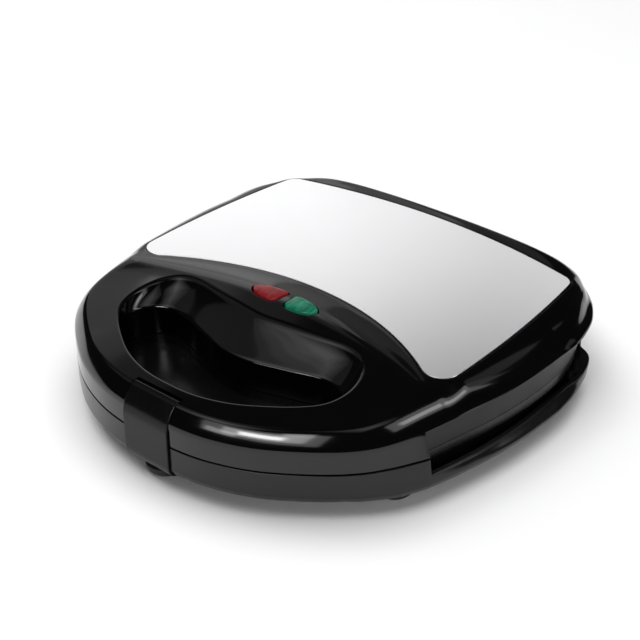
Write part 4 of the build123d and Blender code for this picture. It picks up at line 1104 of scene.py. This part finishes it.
BAND_Z = np.concatenate([np.linspace(16.4, 12.5, 6), np.linspace(12.0, 6.0, 16)])
base_cols = []
for i in range(NB):
    zone = base_zone(i)
    fn, out_fn = base_profile_fn(bp[i, 1])
    prof = []
    if zone == "ledge":
        top = fn(np.array([SKIRT_RIM]))[0]
        inner = reach_core(i, top, 2.3)
        prof += [np.array([inner, 12.0]), np.array([inner, SKIRT_RIM - 0.02]), np.array([inner, SKIRT_RIM])]
        prof += [np.array([inner + (top - 0.7 - inner) * k, SKIRT_RIM]) for k in (0.02, 0.35, 0.7)]
        prof += list(bezier(np.array([top - 0.7, SKIRT_RIM]), np.array([top, SKIRT_RIM]),
                            np.array([fn(np.array([SKIRT_RIM - 0.6]))[0], SKIRT_RIM - 0.6]), 6))
        while len(prof) < 18:
            prof.append(prof[-1])
    elif zone == "recess":
        top = fn(np.array([SKIRT_RIM]))[0]
        prof += [np.array([top - WALL, 12.0]), np.array([top - WALL, SKIRT_RIM - 0.3])]
        prof += list(bezier(np.array([top - WALL, SKIRT_RIM - 0.3]), np.array([top - WALL, SKIRT_RIM]),
                            np.array([top - WALL + 0.5, SKIRT_RIM]), 4))[1:]
        prof += list(bezier(np.array([top - 0.7, SKIRT_RIM]), np.array([top, SKIRT_RIM]),
                            np.array([fn(np.array([SKIRT_RIM - 0.6]))[0], SKIRT_RIM - 0.6]), 6))
        while len(prof) < 18:
            prof.append(prof[-1])
    elif isinstance(zone, float):
        r = zone
        off = (HINGE_Y - bp[i, 1]) / max(bn[i, 1], 0.2)
        o0 = fn(np.array([22.0]))[0]
        du = off - o0
        dz = math.sqrt(max(r * r - du * du, 0.01))
        a1 = math.atan2(dz, -du)
        a0 = math.pi - math.asin((HINGE_Z - Z_BASE1) / r)
        inner = min(off + r * math.cos(a0) - 0.3, -WALL)
        prof += [np.array([inner, 18.0]), np.array([inner, Z_BASE1])]
        for q in np.linspace(a0, a1, 10):
            prof.append(np.array([off + r * math.cos(q), HINGE_Z - r * math.sin(q)]))
        zt = HINGE_Z - dz
        for z in np.linspace(zt, 17.0, 7)[1:]:
            prof.append(np.array([fn(np.array([z]))[0], z]))
        while len(prof) < 18:
            prof.append(prof[-1])
    else:
        zb = Z_BASE1 - 0.3
        ob = fn(np.array([zb]))[0]
        prof += [np.array([-WALL, 18.0]), np.array([-WALL, zb - 0.2]), np.array([-WALL + 0.3, zb])]
        prof += list(bezier(np.array([ob - 0.35, zb]), np.array([ob, zb]),
                            np.array([fn(np.array([zb - 0.35]))[0], zb - 0.35]), 6))
        for z in np.linspace(zb - 0.35, 17.0, 10)[1:]:
            prof.append(np.array([fn(np.array([z]))[0], z]))
    prof = prof[:18]
    for z in BAND_Z:
        prof.append(np.array([fn(np.array([z]))[0], z]))
    col = []
    for k, (o, z) in enumerate(prof):
        arcs = isinstance(zone, float) and k < 18
        col.append(place(i, o, z, bp, bn) if arcs else place_base(i, o, z, out_fn(np.array([z]))[0]))
    base_cols.append(col)
base_cols = np.array(base_cols)
bzones = [base_zone(i) for i in range(NB)]


def orient_base(nn, g):
    out = g[:, 24, :2]
    s = (nn[:, 24, :2] * out).sum(1)
    return -nn if (s < 0).mean() > 0.5 else nn


base = Build()
INLET_Z = 13.5
_starts = [i for i in range(NB) if bcut[i]]
for a, b in zip(_starts, _starts[1:] + [_starts[0] + NB]):
    ids = [(a + 1 + k) % NB for k in range(b - a)]
    if bzones[ids[0]] == "slot":
        continue
    g = base_cols[ids]
    nn = orient_base(grid_normals(g, False), g)
    nn[:, -1] = (0, 0, -1)
    base.grid(g, normals=nn,
              keep=lambda c: not (c[1] > 110 and math.hypot(c[0], c[2] - INLET_Z) < 4.9))
for a in _starts:
    b = (a + 1) % NB
    if "slot" in (bzones[a], bzones[b]):
        continue
    base.ladder(base_cols[a], base_cols[b], flip=zone_size(bzones[b]) > zone_size(bzones[a]))

# underside, with its slots and counterbores
bot = base_cols[:, -1, :2]
bslot = np.array([z == "slot" for z in bzones])
loop = [tuple(p) for p, s in zip(bot, bslot) if not s]
fx, lx_ = loop[0][0], loop[-1][0]
Y_WELL = -117.6
loop += [(lx_, y) for y in np.linspace(loop[-1][1], Y_WELL, 5)[1:]] + [(x, Y_WELL) for x in np.linspace(lx_, fx, 9)[1:-1]] \
    + [(fx, y) for y in np.linspace(loop[0][1], Y_WELL, 5)[::-1][:-1]]


def circle(cx, cy, r, n=36):
    t = np.linspace(0, 2 * math.pi, n, endpoint=False)
    return np.stack([cx + r * np.cos(t), cy + r * np.sin(t)], 1)


def slot_loop(cx, cy, length, width, n=12):
    r, h = width / 2, length / 2 - width / 2
    a = np.linspace(-math.pi / 2, math.pi / 2, n)
    right = np.stack([cx + h + r * np.cos(a), cy + r * np.sin(a)], 1)
    left = np.stack([cx - h - r * np.cos(a), cy - r * np.sin(a)], 1)
    return np.vstack([right, left])


vents = [slot_loop(cx, 3 + 12 * k, 34, 2.4) for cx in (46, -46) for k in range(5)]
bores = [circle(x, y, 3.2) for x, y in BOSSES]
R_EDGE = 0.3
v, f = triangulate(loop, [h + outward(h) * R_EDGE for h in vents + bores], [])
base.add(np.column_stack([v, np.full(len(v), Z_BOTTOM)]), [q[::-1] for q in f], [(0, 0, -1)] * len(v))
for h, depth in [(h, 2.4) for h in vents] + [(h, 1.3) for h in bores]:
    a = np.column_stack([h + outward(h) * R_EDGE, np.full(len(h), Z_BOTTOM)])
    c = np.column_stack([h, np.full(len(h), Z_BOTTOM)])
    b = np.column_stack([h, np.full(len(h), Z_BOTTOM + R_EDGE)])
    rows = list(bezier(a, c, b, 4)) + [np.column_stack([h, np.full(len(h), Z_BOTTOM + depth)])]
    g = np.array(rows).transpose(1, 0, 2)
    nn = grid_normals(g, True)
    if (nn[:, -1, :2] * outward(h)).sum() > 0:
        nn = -nn
    nn[:, 0] = (0, 0, -1)
    base.grid(g, close=True, normals=nn)
for x, y in BOSSES:
    big, small = circle(x, y, 3.2), circle(x, y, 1.7)
    v, f = triangulate([tuple(p) for p in big], [small], [])
    base.add(np.column_stack([v, np.full(len(v), Z_BOTTOM + 1.3)]), f, [(0, 0, -1)] * len(v))

# latch well: back wall and cheeks
fr = base_cols[[np.where(~bslot)[0][0], np.where(~bslot)[0][-1]]]
for col in fr:
    s = 1 if col[0, 0] > 0 else -1
    prof = [(q[1], q[2]) for q in col[3:]]
    pts = [(Y_WELL, Z_BASE1)] + prof + [(Y_WELL, Z_BOTTOM)]
    keep = [pts[0]]
    for q in pts[1:]:
        if math.hypot(q[0] - keep[-1][0], q[1] - keep[-1][1]) > 1e-3:
            keep.append(q)
    v, f = triangulate(keep, [], [])
    base.add(np.column_stack([np.full(len(v), s * xl), v]), f, [(-s, 0, 0)] * len(v))
g = np.array([[(x, Y_WELL, z) for z in np.linspace(Z_BASE1, Z_BOTTOM, 7)] for x in np.linspace(-xl, xl, 9)])
base.grid(g, normals=np.tile([0, -1.0, 0], (9, 7, 1)))
g = np.array([[(x, y, Z_BASE1) for y in (Y_WELL, Y_WELL + 2.2)] for x in np.linspace(-xl - 2, xl + 2, 9)])
base.grid(g, normals=np.tile([0, 0, 1.0], (9, 2, 1)))

# ears that hold the hinge pins
EAR = arc_pts(HINGE_Y, HINGE_Z, KNUCKLE_R, -28, 178, 30) + [(118.0, Z_BASE1), (112.6, Z_BASE1), (112.6, 13.2), (117.4, 13.2)]
for s in (1, -1):
    for t in (1, -1):
        x0 = s * HINGE_X + t * (KNUCKLE_W / 2 + 0.4)
        x1 = x0 + t * EAR_W
        extrude_rounded(base, EAR, min(x0, x1), max(x0, x1), r=0.45, mid=2)

base_obj = base.make("base_casing", [SATIN], "base", ["base_shell"])

# ------------------------------------------------------------------ the latch
latch = Build()
_o = np.array([(-115.8, 45.6), (-118.0, 45.15), (-119.95, 43.2), (-122.2, 40.3), (-124.2, 36.6),
               (-125.15, 32.6), (-125.2, 28.0), (-125.2, 18.0), (-125.15, 13.4), (-124.5, 10.4),
               (-122.4, 7.6), (-119.2, 6.25)])
_t = np.concatenate([[0], np.cumsum(np.linalg.norm(np.diff(_o, axis=0), axis=1))])
_q = np.linspace(0, _t[-1], 110)
outer = np.stack([np.array([float(pchip(_t, _o[:, k], np.array([u]))[0]) for u in _q]) for k in (0, 1)], 1)
ker = np.array([1, 2, 3, 2, 1]) / 9.0
sm = outer.copy()
for k in (0, 1):
    sm[2:-2, k] = np.convolve(outer[:, k], ker, mode="valid")
prof = [tuple(p) for p in sm]
prof += [(-118.6, 6.7), (-118.3, 7.9), (-120.3, 9.1), (-121.7, 11.2), (-122.2, 14.0), (-122.2, 24), (-122.2, 34.2),
         (-121.5, 36.4), (-120.1, 37.6), (-118.9, 38.05)]
prof += arc_pts(LATCH_Y, LATCH_Z, LATCH_R, 225, 388, 34)
prof += [(-113.4, 44.5)]
extrude_rounded(latch, prof, -LATCH_W / 2, LATCH_W / 2, r=0.4, steps=6, mid=12)
latch_obj = latch.make("latch_lever", [LATCH_BLACK], "latch", ["latch"])

# ------------------------------------------------------------------ the lenses
def lens(name, s, mat, node):
    b = Build()
    edge = lens_loop(s, -1.0, 180)
    base_z = lid_top(edge[:, 0], edge[:, 1])
    cen = edge.mean(0)
    rows = [np.column_stack([edge, np.full(len(edge), 48.6)]),
            np.column_stack([edge, base_z + 0.1])]
    up = np.column_stack([edge, base_z + 0.65])
    a = cen + (edge - cen) * 0.955
    za = lid_top(a[:, 0], a[:, 1])
    rows += list(bezier(rows[-1], up, np.column_stack([a, za + 0.75]), 6))[1:]
    for k in np.linspace(0.93, 0.0, 26):
        p = cen + (edge - cen) * k
        ribs = 0.06 * np.sin(p[:, 0] * 2 * math.pi / 1.25) * min(1.0, (0.955 - k) * 6)
        z = np.minimum(lid_top(p[:, 0], p[:, 1]) + 0.75 + 0.6 * (1 - (k / 0.955) ** 2), 55.6) + ribs
        rows.append(np.column_stack([p, z]))
    g = np.array(rows).transpose(1, 0, 2)
    nn = grid_normals(g, True)
    if nn[:, 8, 2].mean() < 0:
        nn = -nn
    nn[:, -1] = (0, 0, 1)
    b.grid(g, close=True, normals=nn)
    return b.make(name, [mat], "lid", [node])


lens("red_indicator", -1, RED, "red_lens")
lens("green_indicator", 1, GREEN, "green_lens")

# ------------------------------------------------------------------ CAD nodes kept
LOOKS = {"base_frame": POCKET, "lid_frame": MATTE, "lower_cooking_plate": COATED,
         "upper_cooking_plate": COATED, "lid_cover_plate": STEEL, "feet": RUBBER,
         "cord_inlet": RUBBER, "hinge_pins": BRIGHT, "latch_pin": BRIGHT,
         "hinge_lead_lower": WIRE, "hinge_lead_upper": WIRE, "base_wires": WIRE,
         "lid_wires": WIRE, "lower_reflector": ALU, "upper_reflector": ALU,
         "lower_heating_element": ELEMENT, "upper_heating_element": ELEMENT,
         "thermostat": ALU, "thermal_fuse": BRASS, "terminal_block": IVORY,
         "lamp_holder": IVORY, "neon_lamps": LAMP}
for name, o in nodes.items():
    o.data.materials.clear()
    o.data.materials.append(LOOKS.get(name, BRIGHT))
    for p in o.data.polygons:
        p.use_smooth = True
    es = o.modifiers.new("edges", "EDGE_SPLIT")
    es.split_angle = math.radians(32)

# ------------------------------------------------------------------ stage
FLOOR, _nt, _b = principled("floor_white", Roughness=0.75, Specular_IOR_Level=0.2)
_nt.links.new(ramp(_nt, noise(_nt, 3, 2), (0.93, 0.93, 0.935), (0.95, 0.95, 0.955), 0.3, 0.7),
              _b.inputs["Base Color"])
me = bpy.data.meshes.new("floor")
S = 6.0
me.from_pydata([(-S, -S, 0), (S, -S, 0), (S, S, 0), (-S, S, 0)], [], [(0, 1, 2, 3)])
me.materials.append(FLOOR)
floor = bpy.data.objects.new("floor", me)
scene.collection.objects.link(floor)

world = bpy.data.worlds.new("studio")
scene.world = world
world.use_nodes = True
world.node_tree.nodes["Background"].inputs["Color"].default_value = (1, 1, 1, 1)
world.node_tree.nodes["Background"].inputs["Strength"].default_value = 0.02

AZ, EL = math.radians(40.23), math.radians(31.13)
cam_data = bpy.data.cameras.new("camera")
cam_data.lens = 79.23
cam_data.sensor_width = 36
cam_data.clip_start = 0.01
cam_data.clip_end = 50
cam = bpy.data.objects.new("camera", cam_data)
scene.collection.objects.link(cam)
cam.location = (0.39945, -0.47342, 0.40371)
fwd = Vector((-math.sin(AZ) * math.cos(EL), math.cos(AZ) * math.cos(EL), -math.sin(EL)))
cam.rotation_euler = fwd.to_track_quat("-Z", "Y").to_euler()
scene.camera = cam


def panel(name, az0, az1, el0, el1, dist, radiance, color=(1, 1, 1)):
    """Soft box seen from the object between two azimuths (0 is +Y, 90 is -X) and two elevations."""
    az, el = math.radians((az0 + az1) / 2), math.radians((el0 + el1) / 2)
    w = 2 * dist * math.tan(math.radians(abs(az1 - az0)) / 2) * math.cos(el)
    h = 2 * dist * math.tan(math.radians(el1 - el0) / 2)
    d = bpy.data.lights.new(name, "AREA")
    d.shape = "RECTANGLE"
    d.size, d.size_y = w, h
    d.energy = radiance * math.pi * w * h
    d.color = color
    o = bpy.data.objects.new(name, d)
    scene.collection.objects.link(o)
    u = Vector((-math.sin(az) * math.cos(el), math.cos(az) * math.cos(el), math.sin(el)))
    o.location = Vector((0, 0, 0.04)) + u * dist
    o.rotation_euler = (-u).to_track_quat("-Z", "Y").to_euler()
    return o


def flat_light(name, az, el, dist, width, height, radiance):
    """Large soft box aimed at the object."""
    a, e = math.radians(az), math.radians(el)
    d = bpy.data.lights.new(name, "AREA")
    d.shape = "RECTANGLE"
    d.size, d.size_y = width, height
    d.energy = radiance * math.pi * width * height
    o = bpy.data.objects.new(name, d)
    scene.collection.objects.link(o)
    u = Vector((-math.sin(a) * math.cos(e), math.cos(a) * math.cos(e), math.sin(e)))
    o.location = Vector((0, 0, 0.04)) + u * dist
    o.rotation_euler = (-u).to_track_quat("-Z", "Y").to_euler()
    o.visible_glossy = False
    return o


for spec in (("backdrop_low", 38, 60, 2, 19, 1.6, 0.62),
             ("backdrop_high", 38, 60, 19, 33, 1.6, 0.92),
             ("backdrop_side", 60, 72, 2, 33, 1.6, 0.4),
             ("backdrop_middle", 32, 38, 4, 19, 1.6, 0.3),
             ("backdrop_middle_high", 31, 38, 19, 32, 1.6, 0.45),
             ("backdrop_right", 24, 32, 6, 32, 1.6, 0.12),
             ("backdrop_fade_a", 36, 72, 33, 37, 1.6, 0.36),
             ("backdrop_fade_b", 36, 72, 37, 43, 1.6, 0.12),
             ("left_high", 76, 128, 36, 78, 1.5, 0.15),
             ("front_high_a", 112, 186, 42, 76, 1.5, 0.22),
             ("front_high_b", 120, 180, 45, 72, 1.48, 0.24),
             ("front_high_c", 128, 174, 48, 68, 1.46, 0.3),
             ("front_high_d", 136, 168, 51, 64, 1.44, 0.34),
             ("front_high_e", 143, 163, 54, 61, 1.42, 0.36),
             ("right_high_a", -128, -58, 46, 82, 1.5, 0.25),
             ("right_high_b", -118, -66, 50, 76, 1.48, 0.3),
             ("right_high_c", -108, -78, 55, 69, 1.46, 0.35),
             ("front_core", -176, -152, 29, 35, 1.5, 18),
             ("front_middle", -184, -146, 26, 39, 1.45, 4.5),
             ("front_halo", -196, -140, 22, 44, 1.4, 1.7),
             ("front_left_fade", -192, -176, 22, 29, 1.5, 3.5),
             ("front_right_fade", -153, -144, 37, 44, 1.5, 4.5),
             ("right_core", -77, -62, 28, 34, 1.5, 4.2),
             ("right_halo", -86, -54, 24, 40, 1.45, 1.7),
             ("right_middle", -62, -46, 28, 38, 1.4, 0.5),
             ("right_tail", -46, -28, 32, 42, 1.35, 0.3)):
    panel(*spec).visible_diffuse = False
steel_only = bpy.data.collections.new("steel_only")
steel_only.objects.link(nodes["lid_cover_plate"])
for spec in (("steel_left", 38, 62, 17, 33, 1.55, 0.72),
             ("steel_middle", 24, 38, 17, 33, 1.55, 0.95),
             ("steel_right", 4, 24, 17, 33, 1.55, 1.25)):
    o = panel(*spec)
    o.visible_diffuse = False
    o.light_linking.receiver_collection = steel_only
flat_light("sky_light", 60, 84, 2.0, 2.4, 2.4, 2.6)
flat_light("back_light", 88, 48, 1.8, 1.5, 1.1, 1.9)
flat_light("fill_light", -140, 20, 1.9, 2.4, 1.0, 1.5)
flat_light("right_fill", -70, 20, 1.9, 2.0, 1.0, 1.0)
scene.view_settings.view_transform = "Standard"
scene.view_settings.look = "None"
scene.view_settings.exposure = 0.0
